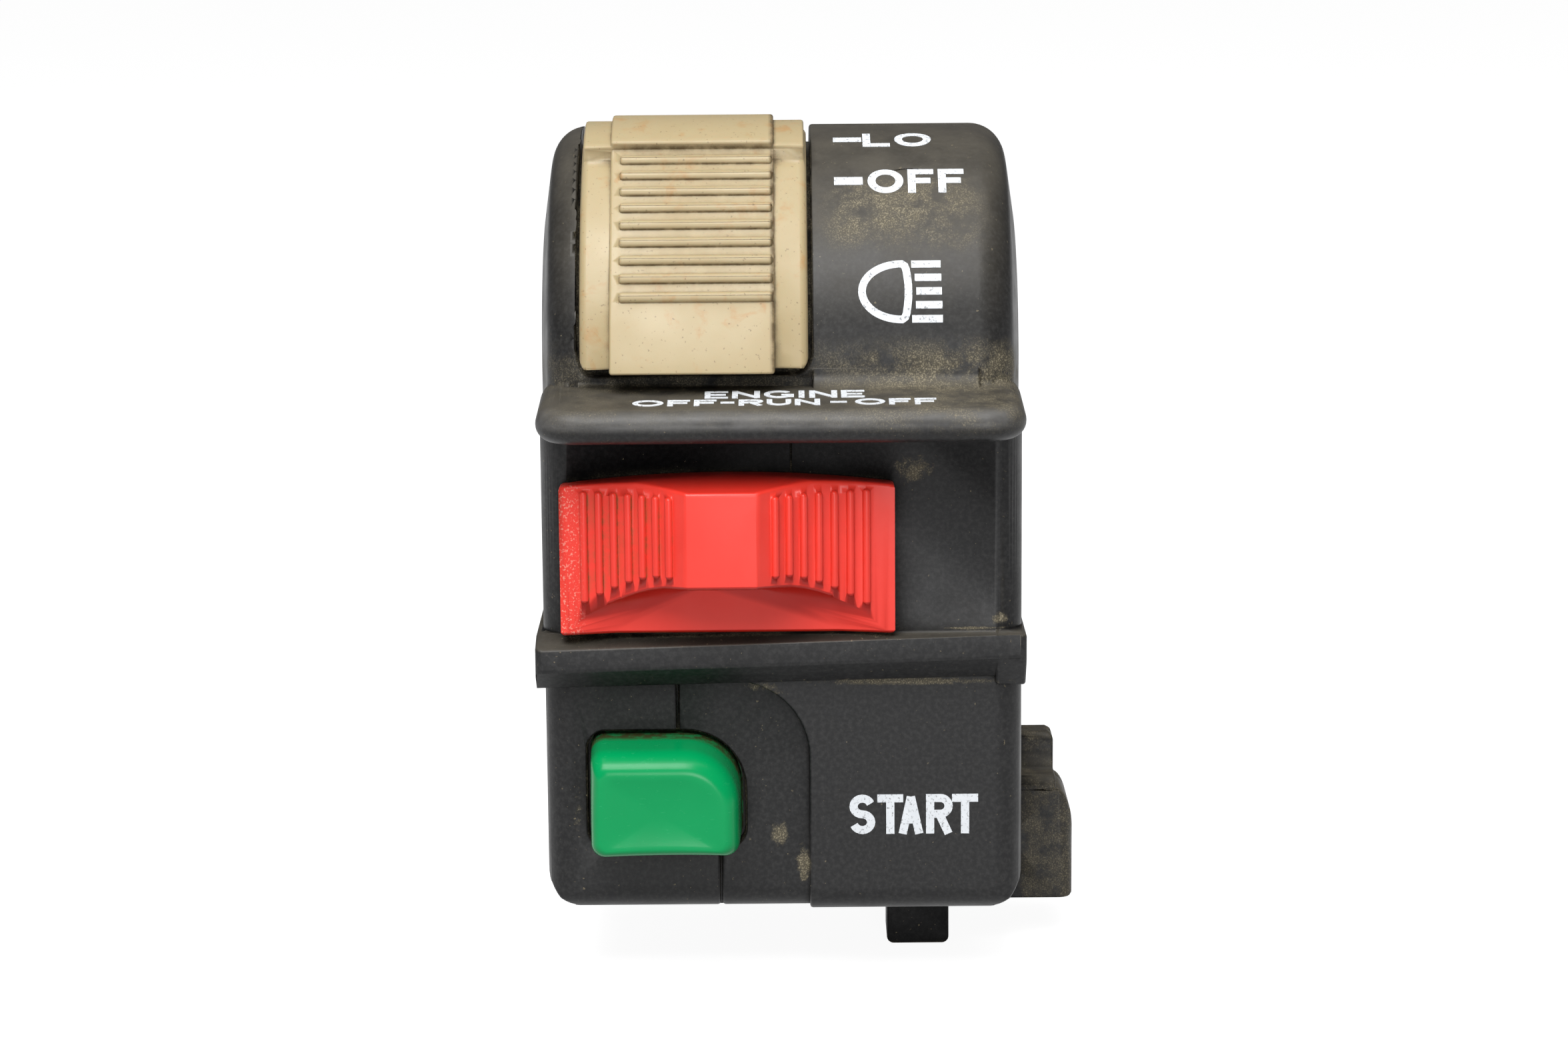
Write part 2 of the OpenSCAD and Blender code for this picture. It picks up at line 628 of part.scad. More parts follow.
// Recess that the headlight slider runs in, and the slot for its stem
recess_margin = 0.3; // under the slider at its lowest
recess_over = 3;     // degrees past the slider at its highest
recess_from_z = recess_r * sin(light_from) - recess_margin;
recess_to = light_to + light_travel + recess_over;
recess_corner_r = 2;
module light_recess() intersection() {
  around_bar(-10, recess_to)
    translate([recess_r, recess_x0]) square([far, recess_x1 - recess_x0]);
  along_depth(-2 * far, 2 * far)
    round_rect(recess_x0, recess_from_z, recess_x1, 2 * far,
               [recess_corner_r, recess_corner_r, 0, 0]);
}
slot_gap = 1; // degrees past the stem at each end of its travel
module light_slot()
  around_bar(light_stem_at - light_stem_half - slot_gap,
             light_stem_at + light_travel + light_stem_half + slot_gap)
    translate([light_carriage_out, light_x - light_stem_w / 2 - slide_gap])
      square([recess_r - light_carriage_out + 1, light_stem_w + 2 * slide_gap]);
module stop_slot()
  along_depth(-face_p - 1, -stop_inner_p + 1)
    translate([stop_x - stop_stem_w / 2 - slide_gap, stop_z - stop_stem_h / 2 - slide_gap])
      square([stop_stem_w + stop_travel + 2 * slide_gap, stop_stem_h + 2 * slide_gap]);

// Outline of the starter button, grown by a margin all round
start_least_r = 0.6; // small corners never get sharper than this
module start_outline(grow) let (small_r = max(start_least_r, start_corner_r + grow))
  round_rect(start_x0 - grow, start_z0 - grow, start_x1 + grow, start_z1 + grow,
             [small_r, small_r, start_big_r + grow, small_r]);
module start_aperture()
  along_depth(-start_p - 1, -start_inner_p + 1) start_outline(slide_gap);

// Fine lines that the moulding tool's inserts leave in the panels
witness_stop_in = 1.9;
witness_high_in = 7.2;
witness_low_in = 1.9;
witness_stop_x = recess_x1 - witness_stop_in;
witness_start_x = [start_x0 + witness_high_in, start_x1 - witness_low_in];
module witness_lines() {
  translate([witness_stop_x, -face_p - 1, stop_z])
    cube([witness_w, 1 + witness_w, stop_bay_top - stop_z - sliver]);
  translate([witness_start_x[0], -start_p - 1, start_z1])
    cube([witness_w, 1 + witness_w, ridge_low - start_z1 - sliver]);
  along_bar(witness_start_x[1], witness_start_x[1] + witness_w) difference() {
    translate([-start_p - 1, case_low - 1]) square([edge_r + 1, start_z0 - case_low + 1]);
    round_rect(-start_p + witness_w, case_low + witness_w, far, far,
               [edge_r - witness_w, 0, 0, 0]);
  }
}

// Small tab under the case, with a shoulder at its root
tab_in = 5.7; // from the end of the case to the tab's right side
tab_x0 = hw - tab_in - tab_w;
tab_front = -7.5;
tab_edge_r = 0.6;
tab_shoulder = 0.45; // how far the tab's root stands out on its left
module low_tab() {
  along_depth(tab_front, tab_front + tab_t)
    round_rect(tab_x0, case_low - tab_drop, tab_x0 + tab_w, case_low + wall,
               [tab_edge_r, tab_edge_r, 0, 0]);
  along_depth(tab_front, tab_front + tab_t)
    round_rect(tab_x0 - tab_shoulder, case_low - wall, tab_x0 + tab_w, case_low + wall,
               [tab_shoulder, 0, 0, 0]);
}
module front_case() color(case_black) difference() {
  union() {
    around_bar(-90, 90) barrel_section();
    lower_block(-start_p, 0, edge_r, 0);
    intersection() {
      lower_block(-face_p, 0, edge_r, 0);
      upwards(ridge_low + bite, far) square(2 * far, center = true);
    }
    label_panel();
    visor();
    ridge();
    intersection() {
      outlet_outer();
      ahead();
    }
    low_tab();
  }
  difference() {
    front_cavity();
    front_posts();
  }
  bar_bore();
  light_recess();
  light_slot();
  stop_slot();
  start_aperture();
  front_screw_holes();
  outlet_bore();
  witness_lines();
}

// Wells for the case screws in the rear half
module rear_screw_tubes()
  for (place = case_screw_places)
    rearwards(place[0], -1, place[1]) cylinder(r = case_well_r + 1.2, h = far);
module rear_screw_holes()
  for (place = case_screw_places) {
    rearwards(place[0], -1, place[1]) cylinder(r = case_screw_d / 2 + 5 * hole_gap, h = far);
    rearwards(place[0], case_screw_seat, place[1]) cylinder(r = case_well_r, h = far);
  }
module rear_case() color(case_black) difference() {
  union() {
    around_bar(90, 270) barrel_section();
    lower_block(0, rear_depth, 0, rear_edge_r);
    intersection() {
      outlet_outer();
      behind();
    }
  }
  difference() {
    rear_cavity();
    rear_screw_tubes();
  }
  bar_bore();
  light_recess();
  rear_screw_holes();
  outlet_bore();
}

module case_screws() color(steel)
  for (place = case_screw_places)
    translate([place[0], case_screw_seat, place[1]]) rotate([90, 0, 0])
      pan_screw(case_screw_d, case_screw_len, case_head_r, case_head_h);

// Rubber bush in the outlet, with a flange sunk in its mouth
module harness_grommet() color(rubber) translate([outlet_x, 0, outlet_low]) difference() {
  union() {
    cylinder(r = outlet_bore_r, h = grommet_len);
    cylinder(r = outlet_bore_r + grommet_flange, h = grommet_flange_t);
  }
  translate([0, 0, -1]) cylinder(d = harness_d, h = grommet_len + 2);
}

// Thumb face of the headlight slider: a flatter curve than the barrel's, so it stands
// higher at its ends
light_mid_shift = 5; // degrees from the middle of the face up to its lowest point
light_mid_at = (light_from + light_lip_at) / 2 + light_mid_shift;
face_centre = ray(light_mid_at, light_face_mid - light_face_r);
light_lip_centre = ray(light_lip_at, light_face_mid + light_lip_h - light_lip_r);
light_face_x0 = light_x0 + light_rail_w;
light_rail_more = 0.25; // how much wider the right-hand rail is
light_face_x1 = light_x1 - light_rail_w - light_rail_more;
light_end_r = 1.4;   // lower corners of the slider
light_side_r = 0.7;  // long edges of the slider
light_lip_drop = 0.5; // how much lower the lip is over the rails
light_rail_short = 0.8; // degrees that the rails stop short of the face

// Distance of the face from the bar's axis at an angle round the bar, and the angle about
// the face's own centre at which the face starts
face_lever = light_face_r - light_face_mid;
function face_reach(angle) =
  let (turn = angle - light_mid_at)
    sqrt(pow(light_face_r, 2) - pow(face_lever * sin(turn), 2)) - face_lever * cos(turn);
face_first = ray(light_from, face_reach(light_from)) - face_centre;
light_face_start = atan2(face_first[1], -face_first[0]);

module light_lip(drop) intersection() {
  translate(light_lip_centre) circle(light_lip_r - drop);
  wedge(light_lip_at, light_to);
}
module light_face() intersection() {
  translate(face_centre) circle(light_face_r);
  wedge(light_from, light_lip_at + 1);
}
light_rib_in = 0.8; // plain margin left of the ribs
light_rib_out = 0.15; // plain margin right of the ribs
light_lip_in = 0.2; // from the slider's sides to the ends of the lip
rib_sink = 0.02;    // how far the ribs' centres lie under the face
module light_rib_row()
  for (i = [0:light_ribs - 1])
    let (turn = light_face_start + (light_plain + i * light_rib_pitch) / light_face_r * 180 / PI)
      translate(face_centre + ray(turn, light_face_r - rib_sink)) circle(light_rib_r, $fn = 24);
module light_cover() difference() {
  intersection() {
    union() {
      around_bar(light_from + light_rail_short, light_to - 1)
        round_rect(light_in - 1, light_x0, light_rail_out, light_x1,
                   [0, light_side_r, light_side_r, 0]);
      along_bar(light_face_x0, light_face_x1) light_face();
      along_bar(light_face_x0, light_face_x1) light_lip(0);
      along_bar(light_x0 + light_lip_in, light_x1 - light_lip_in) light_lip(light_lip_drop);
      along_bar(light_face_x0 + light_rib_in, light_face_x1 - light_rib_out) light_rib_row();
    }
    along_depth(-2 * far, 2 * far)
      round_rect(light_x0, light_in * sin(light_from), light_x1, 2 * far,
                 [light_end_r, light_end_r, 0, 0]);
  }
  along_bar(-far, far) circle(light_in);
}
light_stem_in = light_carriage_out + sliver;
light_screw_gap = 1.65; // from the ball's pocket to a screw's axis
light_screw_dx = light_ball_d / 2 + light_screw_gap;
light_pocket_end = recess_r;
module light_slider() color(ivory) difference() {
  union() {
    light_cover();
    around_bar(light_stem_at - light_stem_half, light_stem_at + light_stem_half)
      translate([light_stem_in, light_x - light_stem_w / 2])
        square([light_in + bite - light_stem_in, light_stem_w]);
  }
  radial(light_x, light_stem_at) {
    cylinder(d = light_ball_d + 2 * hole_gap, h = light_pocket_end);
    for (side = [-1, 1])
      translate([side * light_screw_dx, 0, 0])
        cylinder(d = light_screw_d + 2 * hole_gap, h = light_carriage_out + light_screw_bite + 0.3);
  }
}

// Arc-shaped carriage inside the barrel, which also keeps the slot shut
light_screw_d = 1.5;
light_screw_head_r = 1.3;
light_screw_head_h = 0.8;
light_screw_bite = 2;  // thread in the stem
light_carriage_below = 46;
light_carriage_above = 12;
module light_carriage() color(nylon) difference() {
  around_bar(light_stem_at - light_carriage_below, light_stem_at + light_carriage_above)
    translate([light_carriage_in, light_x - light_carriage_half])
      square([light_carriage_t, 2 * light_carriage_half]);
  radial(light_x, light_stem_at) {
    cylinder(d = light_ball_d + 2 * hole_gap, h = far);
    for (side = [-1, 1]) translate([side * light_screw_dx, 0, 0]) {
      cylinder(d = light_screw_d + 2 * hole_gap, h = far);
      cylinder(r = light_screw_head_r + hole_gap, h = light_carriage_in + light_screw_head_h + bite);
    }
  }
}
module light_carriage_screws() color(steel)
  radial(light_x, light_stem_at)
    for (side = [-1, 1])
      translate([side * light_screw_dx, 0, light_carriage_in + light_screw_head_h + bite])
        pan_screw(light_screw_d, light_carriage_t - light_screw_head_h - bite + light_screw_bite,
                  light_screw_head_r, light_screw_head_h);

// Contact shoes under the lower part of the carriage
light_shoe_at = light_stem_at - 29;
light_shoe_half = 7;
light_shoe_w = 2.4;
light_shoe_dx = 3.2;
module light_moving_contacts() color(brass)
  for (side = [-1, 1])
    around_bar(light_shoe_at - light_shoe_half, light_shoe_at + light_shoe_half)
      translate([light_carriage_in - contact_t, light_x + side * light_shoe_dx - light_shoe_w / 2])
        square([contact_t, light_shoe_w]);

ball_gap = 0.15; // between a detent ball and its plate
light_ball_at = light_plate_out + ball_gap + light_ball_d / 2;
module light_detent_ball() color(steel)
  radial(light_x, light_stem_at) translate([0, 0, light_ball_at]) sphere(d = light_ball_d);
spring_wire = 0.35;
detent_turns = 3;
module light_detent_spring() color(steel)
  radial(light_x, light_stem_at) translate([0, 0, light_ball_at + light_ball_d / 2])
    coil_spring("light_detent_spring", light_ball_d / 2 - spring_wire, spring_wire,
                light_pocket_end - light_ball_at - light_ball_d / 2, detent_turns);

// Curved contact plate against the bar, with detent dimples for the ball
dimple_depth = 0.25;
light_stops = [for (i = [0:2]) i * light_travel / 2];
contact_r = 1.1;
module light_contact_plate() color(phenolic) difference() {
  around_bar(light_plate_from, light_plate_to)
    translate([light_plate_in, light_plate_x0])
      square([plate_t, light_post_x + post_r - light_plate_x0]);
  for (turn = light_stops) {
    radial(light_x, light_stem_at + turn)
      translate([0, 0, light_plate_out - dimple_depth + light_ball_d / 2 + ball_gap])
        sphere(r = light_ball_d / 2 + ball_gap);
    for (side = [-1, 1])
      radial(light_x + side * light_shoe_dx, light_shoe_at + turn)
        cylinder(r = contact_r + hole_gap, h = far);
  }
  for (angle = light_post_at) radial(light_post_x, angle) {
    cylinder(d = plate_screw_d + 4 * hole_gap, h = far);
    cylinder(r = plate_head_r + 2 * hole_gap, h = light_plate_in + plate_head_h);
  }
}
rivet_sink = 0.2;
module light_fixed_contacts() color(brass)
  for (turn = light_stops, side = [-1, 1])
    radial(light_x + side * light_shoe_dx, light_shoe_at + turn)
      translate([0, 0, light_plate_in + rivet_sink]) cylinder(r = contact_r, h = plate_t - rivet_sink);
plate_head_r = 1.5;
plate_head_h = 0.6;
module light_plate_screws() color(steel)
  for (angle = light_post_at)
    radial(light_post_x, angle) translate([0, 0, light_plate_in + plate_head_h])
      pan_screw(plate_screw_d, plate_t - plate_head_h + plate_screw_len - 0.3,
                plate_head_r, plate_head_h);

// Stop slider: base, centre block, hollow wings and the arch cut under them
wing_root = [stop_root_w, stop_wing_in];
stop_shift = 0.4; // of the block and the wings to the left of the slider's middle
wing_over = 0.05; // of the wings' outline past the slider's ends
wing_end = [stop_len / 2 + stop_shift + wing_over, stop_wing_out];
wing_chord = wing_end - wing_root;
wing_mid = (wing_root + wing_end) / 2;
wing_rise = sqrt(pow(stop_wing_r, 2) - (wing_chord * wing_chord) / 4);
wing_centre = wing_mid + wing_rise * [-wing_chord[1], wing_chord[0]] / norm(wing_chord);
module stop_plan_half() difference() {
  polygon([[0, 0], [wing_end[0], 0], wing_end, wing_root, [stop_block_w, stop_block_p],
           [0, stop_block_p]]);
  translate(wing_centre) circle(stop_wing_r, $fn = 128);
}
module stop_plan() {
  stop_plan_half();
  mirror([1, 0]) stop_plan_half();
}
stop_arch_r = (pow(stop_len / 2, 2) + pow(stop_arch, 2)) / (2 * stop_arch);
module stop_front() intersection() {
  translate([-stop_len / 2, 0]) square([stop_len, stop_h]);
  translate([0, stop_h - stop_arch_r]) circle(stop_arch_r, $fn = 256);
}
// Cut under the wings: a flat middle that falls away in a curve, narrow at the base and
// wide at the front
arch_base = [9.4, 2, 1.95];   // half width, flat half width and bend at the base
arch_front = [stop_len / 2 + 0.9, 5.2, 1.45]; // the same at the front
arch_fall = 1; // how much lower the arch is at the base
arch_steps = 8;
function arch_point(t, size, top) = [size[1] + (size[0] - size[1]) * t, top * (1 - pow(t, size[2]))];
module arch_slice(p, size, top) translate([0, -p, 0]) rotate([90, 0, 0]) linear_extrude(sliver)
  polygon(concat(
    [[-size[0], -1], [size[0], -1]],
    [for (i = [arch_steps:-1:0]) arch_point(i / arch_steps, size, top)],
    [for (i = [0:arch_steps]) let (q = arch_point(i / arch_steps, size, top)) [-q[0], q[1]]]));
module stop_arch_cut() hull() {
  arch_slice(stop_base_t, arch_base, stop_arch_h - arch_fall);
  arch_slice(stop_wing_out + 0.3, arch_front, stop_arch_h - arch_fall * 0.6);
  arch_slice(stop_block_p + 1, arch_front, stop_arch_h);
}
// Height of the arch's front edge at a distance from the middle
function arch_top(dx) =
  stop_arch_h * (1 - pow(max(0, (dx - arch_front[1]) / (arch_front[0] - arch_front[1])),
                         arch_front[2]));
// Side view of the slider, whose top falls towards the front
module stop_side()
  polygon([[0, -1], [0, stop_h], [-stop_wing_out, stop_h],
           [-stop_block_p - 1, stop_h - stop_fall * (stop_block_p + 1 - stop_wing_out)
                                        / (stop_block_p - stop_wing_out)],
           [-stop_block_p - 1, -1]]);
rib_top_gap = 1.5; // from the ribs' upper ends to the top of the slider
rib_low_gap = 0.9;
stop_rib_rise = 0.1; // how far the ribs' centres stand out of the wing
stop_rib_start = [2.93, 2.41]; // from the end of each wing to its first rib
stop_rib_more = [0, 0.07];   // added to the distance between the ribs of each wing
wing_start_turn = atan2(wing_end[0] - wing_centre[0], wing_centre[1] - wing_end[1]);
module stop_rib_row(side) for (i = [0:stop_ribs - 1])
  let (run = stop_rib_start[side] + i * (stop_rib_pitch + stop_rib_more[side]),
       turn = wing_start_turn - run / stop_wing_r * 180 / PI,
       at = wing_centre + (stop_wing_r - stop_rib_rise) * [sin(turn), -cos(turn)],
       low = arch_top(at[0]) + rib_low_gap,
       tall = stop_h - rib_top_gap - low)
    translate([at[0], -at[1], low]) {
      cylinder(r = stop_rib_r, h = tall, $fn = 24);
      sphere(stop_rib_r, $fn = 24);
      translate([0, 0, tall]) sphere(stop_rib_r, $fn = 24);
    }
stop_screw_d = 2.2;
stop_screw_bite = 4;
module stop_slider() color(stop_red) difference() {
  union() {
    translate([stop_x, -face_p - slide_gap, stop_low]) difference() {
      intersection() {
        along_depth(-far, 0) stop_front();
        along_bar(-stop_len / 2 - 1, stop_len / 2 + 1) stop_side();
        translate([-stop_shift, 0, 0]) {
          upwards(0, stop_h) mirror([0, 1]) stop_plan();
          for (side = [0, 1]) mirror([1 - side, 0, 0]) stop_rib_row(side);
        }
      }
      stop_arch_cut();
    }
    translate([stop_x - stop_stem_w / 2, -face_p - slide_gap - bite, stop_z - stop_stem_h / 2])
      cube([stop_stem_w, bite + slide_gap + wall + slide_gap - sliver, stop_stem_h]);
  }
  rearwards(stop_x, -stop_carriage_p - stop_screw_bite - 0.3, stop_z)
    cylinder(d = stop_screw_d + 2 * hole_gap, h = far);
}

// Carriage behind the stop panel
stop_carriage_p = stop_inner_p - slide_gap;
stop_carriage_h = 8.8;
stop_head_r = 1.9;
stop_head_h = 1.4;
stop_head_sink = 0.6;
stop_ball_dz = -stop_head_r - stop_ball_d / 2 - 0.25;
stop_carriage_z0 = stop_z + stop_ball_dz - stop_ball_d / 2 - 0.7;
stop_pocket = 4.3;
module stop_carriage() color(nylon) difference() {
  translate([stop_x - stop_carriage_half, -stop_carriage_p, stop_carriage_z0])
    cube([2 * stop_carriage_half, stop_carriage_t, stop_carriage_h]);
  rearwards(stop_x, -far, stop_z) cylinder(d = stop_screw_d + 2 * hole_gap, h = far);
  rearwards(stop_x, -stop_carriage_p + stop_carriage_t - stop_head_h - stop_head_sink, stop_z)
    cylinder(r = stop_head_r + hole_gap, h = far);
  rearwards(stop_x, -stop_carriage_p + stop_carriage_t - stop_pocket, stop_z + stop_ball_dz)
    cylinder(d = stop_ball_d + 2 * hole_gap, h = far);
}
module stop_carriage_screw() color(steel)
  translate([stop_x, -stop_carriage_p + stop_carriage_t - stop_head_h - stop_head_sink, stop_z])
    rotate([90, 0, 0])
      pan_screw(stop_screw_d, stop_carriage_t - stop_head_h - stop_head_sink + stop_screw_bite,
                stop_head_r, stop_head_h);
stop_shoe_w = 2;
stop_shoe_h = 5;
stop_shoe_dx = stop_carriage_half - stop_shoe_w / 2 - 0.7;
module stop_moving_contacts() color(brass)
  for (side = [-1, 1])
    translate([stop_x + side * stop_shoe_dx - stop_shoe_w / 2,
               -stop_carriage_p + stop_carriage_t, stop_z - stop_shoe_h / 2])
      cube([stop_shoe_w, contact_t, stop_shoe_h]);
stop_ball_p = stop_plate_p + ball_gap + stop_ball_d / 2;
module stop_detent_ball() color(steel)
  translate([stop_x, -stop_ball_p, stop_z + stop_ball_dz]) sphere(d = stop_ball_d);
module stop_detent_spring() color(steel)
  translate([stop_x, -stop_ball_p - stop_ball_d / 2, stop_z + stop_ball_dz]) rotate([90, 0, 0])
    coil_spring("stop_detent_spring", stop_ball_d / 2 - spring_wire, spring_wire,
                stop_carriage_p - stop_carriage_t + stop_pocket - stop_ball_p - stop_ball_d / 2,
                2);

// Flat contact plate behind the stop carriage
stop_stops = [for (i = [0:2]) i * stop_travel / 2];
stop_row_dz = 1.4;
stop_plate_h = 8.2;
stop_plate_z0 = stop_z + stop_ball_dz - stop_ball_d / 2 - 0.2;
module stop_contact_plate() color(phenolic) difference() {
  translate([-stop_post_x - post_r, -stop_plate_p, stop_plate_z0])
    cube([2 * (stop_post_x + post_r), plate_t, stop_plate_h]);
  for (step = stop_stops) {
    translate([stop_x + step, -stop_plate_p + dimple_depth - stop_ball_d / 2 - ball_gap,
               stop_z + stop_ball_dz])
      sphere(r = stop_ball_d / 2 + ball_gap);
    for (side = [-1, 1])
      rearwards(stop_x + step + side * stop_shoe_dx, -far, stop_z - side * stop_row_dz)
        cylinder(r = contact_r + hole_gap, h = far);
  }
  for (side = [-1, 1])
    rearwards(side * stop_post_x, -far, stop_z)
      cylinder(d = plate_screw_d + 4 * hole_gap, h = far);
}
module stop_fixed_contacts() color(brass)
  for (step = stop_stops, side = [-1, 1])
    rearwards(stop_x + step + side * stop_shoe_dx, -stop_plate_p, stop_z - side * stop_row_dz)
      cylinder(r = contact_r, h = plate_t + rivet_sink);
module stop_plate_screws() color(steel)
  for (side = [-1, 1])
    translate([side * stop_post_x, -stop_plate_p + plate_t, stop_z]) rotate([90, 0, 0])
      pan_screw(plate_screw_d, plate_t + plate_screw_len - 0.3, plate_head_r, plate_head_h);

// Starter button: a domed cap with a hollow face, a flange behind the panel and a stem that
// steps down through the contact plate
start_flange = 0.6;
start_flange_t = 1.2;
start_seal_t = 0.4;
start_flange_p = start_inner_p - start_seal_t - slide_gap;
start_front_p = start_p + start_reach;
start_step_p = start_plate_p + 1 + start_travel + contact_t + 0.25;
start_shank_d = 6;
start_clip_t = 0.6;
start_tail = 2.2; // length of stem behind the plate
start_draft = 0.45; // how much the cap narrows towards its edge round
module start_slice(p, grow) along_depth(-p, -p + sliver) start_outline(grow, $fn = 40);
module start_cap() difference() {
  hull() {
    start_slice(start_flange_p, 0);
    start_slice(start_p + bite, 0);
    for (turn = [0:22.5:90])
      start_slice(start_front_p - start_edge_r * (1 - sin(turn)),
                  -start_draft - start_edge_r * (1 - cos(turn)));
  }
  translate([start_x, -start_front_p - dish_r + start_dish, start_z]) sphere(dish_r, $fn = 96);
}
dish_half = start_h / 2 - start_edge_r - start_draft;
dish_r = (pow(dish_half, 2) + pow(start_dish, 2)) / (2 * start_dish);
module start_button() color(start_green) union() {
  start_cap();
  along_depth(-start_flange_p, -start_flange_p + start_flange_t) start_outline(start_flange);
  rearwards(start_x, -start_flange_p, start_z)
    cylinder(d = start_shank_d, h = start_flange_p - start_step_p);
  difference() {
    rearwards(start_x, -start_step_p - bite, start_z)
      cylinder(d = start_stem_d, h = start_step_p + bite - start_plate_p + start_plate_t + start_tail);
    start_clip_groove();
  }
}
// Groove near the end of the stem for the clip
start_clip_y = -start_plate_p + start_plate_t + slide_gap;
start_groove = 0.4;
module start_clip_groove() rearwards(start_x, start_clip_y, start_z) difference() {
  cylinder(d = start_stem_d + 1, h = start_clip_t + 2 * hole_gap);
  cylinder(d = start_stem_d - 2 * start_groove, h = start_clip_t + 2 * hole_gap);
}
start_clip_r = start_stem_d / 2 + 1.4;
module start_stem_clip() color(steel)
  rearwards(start_x, start_clip_y + hole_gap, start_z) difference() {
    cylinder(r = start_clip_r, h = start_clip_t);
    translate([0, 0, -1]) cylinder(d = start_stem_d - 2 * start_groove + 2 * hole_gap, h = start_clip_t + 2);
    translate([-start_stem_d / 2 + start_groove, 0, -1])
      cube([start_stem_d - 2 * start_groove, far, start_clip_t + 2]);
  }
// Rubber frame on the panel's back, round the button
module start_button_seal() color(rubber)
  along_depth(-start_inner_p, -start_inner_p + start_seal_t) difference() {
    start_outline(start_flange);
    start_outline(0.1);
  }
start_spring_wire = 0.6;
start_spring_r = start_stem_d / 2 + 0.3 + start_spring_wire / 2;
start_spring_seat = 1.8; // depth of the spring's seat in the plate
start_spring_turns = 4.5;
module start_return_spring() color(steel)
  translate([start_x, -start_plate_p + start_spring_seat, start_z]) rotate([90, 0, 0])
    coil_spring("start_return_spring", start_spring_r, start_spring_wire,
                start_step_p - contact_t - start_plate_p + start_spring_seat, start_spring_turns);
// Bridge that closes the starter circuit, held against the stem's step by the spring
start_bridge_w = 13;
start_bridge_h = 5.4;
module start_bridge_contact() color(brass) difference() {
  translate([start_x - start_bridge_w / 2, -start_step_p, start_z - start_bridge_h / 2])
    cube([start_bridge_w, contact_t, start_bridge_h]);
  rearwards(start_x, -far, start_z) cylinder(d = start_stem_d + 2 * hole_gap, h = far);
}
start_plate_x0 = -hw + side_wall + slide_gap;
start_plate_z0 = case_low + wall + 0.6;
start_plate_h = 15.2;
start_contact_dx = start_bridge_w / 2 - 1.5;
start_contact_head_r = 1.4;
start_contact_head_h = 0.9;
module start_contact_plate() color(phenolic) difference() {
  translate([start_plate_x0, -start_plate_p, start_plate_z0])
    cube([start_post_x + post_r - start_plate_x0, start_plate_t, start_plate_h]);
  rearwards(start_x, -far, start_z) cylinder(d = start_stem_d + 6 * hole_gap, h = 2 * far);
  rearwards(start_x, -far, start_z)
    cylinder(r = start_spring_r + start_spring_wire / 2 + 4 * hole_gap,
             h = far - start_plate_p + start_spring_seat);
  for (side = [-1, 1])
    rearwards(start_x + side * start_contact_dx, -far, start_z)
      cylinder(r = contact_r - 0.2 + hole_gap, h = 2 * far);
  for (place = start_posts)
    rearwards(place[0], -far, place[1]) cylinder(d = plate_screw_d + 4 * hole_gap, h = 2 * far);
}
module start_fixed_contacts() color(brass)
  for (side = [-1, 1])
    translate([start_x + side * start_contact_dx, -start_plate_p, start_z]) {
      rotate([90, 0, 0]) cylinder(r = start_contact_head_r, h = start_contact_head_h);
      rotate([-90, 0, 0]) cylinder(r = contact_r - 0.2, h = start_plate_t + 1.4);
    }
module start_plate_screws() color(steel)
  for (place = start_posts)
    translate([place[0], -start_plate_p + start_plate_t, place[1]]) rotate([90, 0, 0])
      pan_screw(plate_screw_d, start_plate_t + plate_screw_len - 0.3, plate_head_r, plate_head_h);

front_case();
rear_case();
case_screws();
harness_grommet();
light_slider();
light_carriage();
light_carriage_screws();
light_moving_contacts();
light_detent_ball();
light_detent_spring();
light_contact_plate();
light_fixed_contacts();
light_plate_screws();
stop_slider();
stop_carriage();
stop_carriage_screw();
stop_moving_contacts();
stop_detent_ball();
stop_detent_spring();
stop_contact_plate();
stop_fixed_contacts();
stop_plate_screws();
start_button();
start_button_seal();
start_return_spring();
start_bridge_contact();
start_contact_plate();
start_fixed_contacts();
start_plate_screws();
start_stem_clip();
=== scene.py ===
import json
import math

import bmesh
import bpy
from mathutils import Matrix, Vector


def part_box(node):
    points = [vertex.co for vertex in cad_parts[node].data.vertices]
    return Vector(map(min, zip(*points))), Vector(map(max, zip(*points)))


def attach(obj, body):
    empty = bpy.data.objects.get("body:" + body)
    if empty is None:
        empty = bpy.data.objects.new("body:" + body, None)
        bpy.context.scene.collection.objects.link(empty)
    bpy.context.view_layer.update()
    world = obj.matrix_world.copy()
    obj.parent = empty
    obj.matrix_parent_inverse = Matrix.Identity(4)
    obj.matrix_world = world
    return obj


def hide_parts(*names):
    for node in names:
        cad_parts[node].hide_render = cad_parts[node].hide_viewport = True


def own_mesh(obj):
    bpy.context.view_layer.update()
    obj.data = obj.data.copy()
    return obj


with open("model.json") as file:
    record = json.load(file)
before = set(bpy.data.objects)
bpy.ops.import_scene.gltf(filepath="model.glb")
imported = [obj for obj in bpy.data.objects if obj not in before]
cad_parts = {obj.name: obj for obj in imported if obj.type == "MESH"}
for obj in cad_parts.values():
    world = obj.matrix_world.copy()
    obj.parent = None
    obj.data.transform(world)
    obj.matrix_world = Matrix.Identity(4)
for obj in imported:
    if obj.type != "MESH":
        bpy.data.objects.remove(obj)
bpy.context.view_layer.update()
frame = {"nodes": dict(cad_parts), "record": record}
scene = bpy.context.scene
nodes = frame["nodes"]
body_of_node = {n: b for b, ns in frame["record"]["behaviour"]["bodies"].items() for n in ns}
slot_of_node = {s["node"]: s["material_slot"] for s in frame["record"]["subparts"]}

MM = 0.001

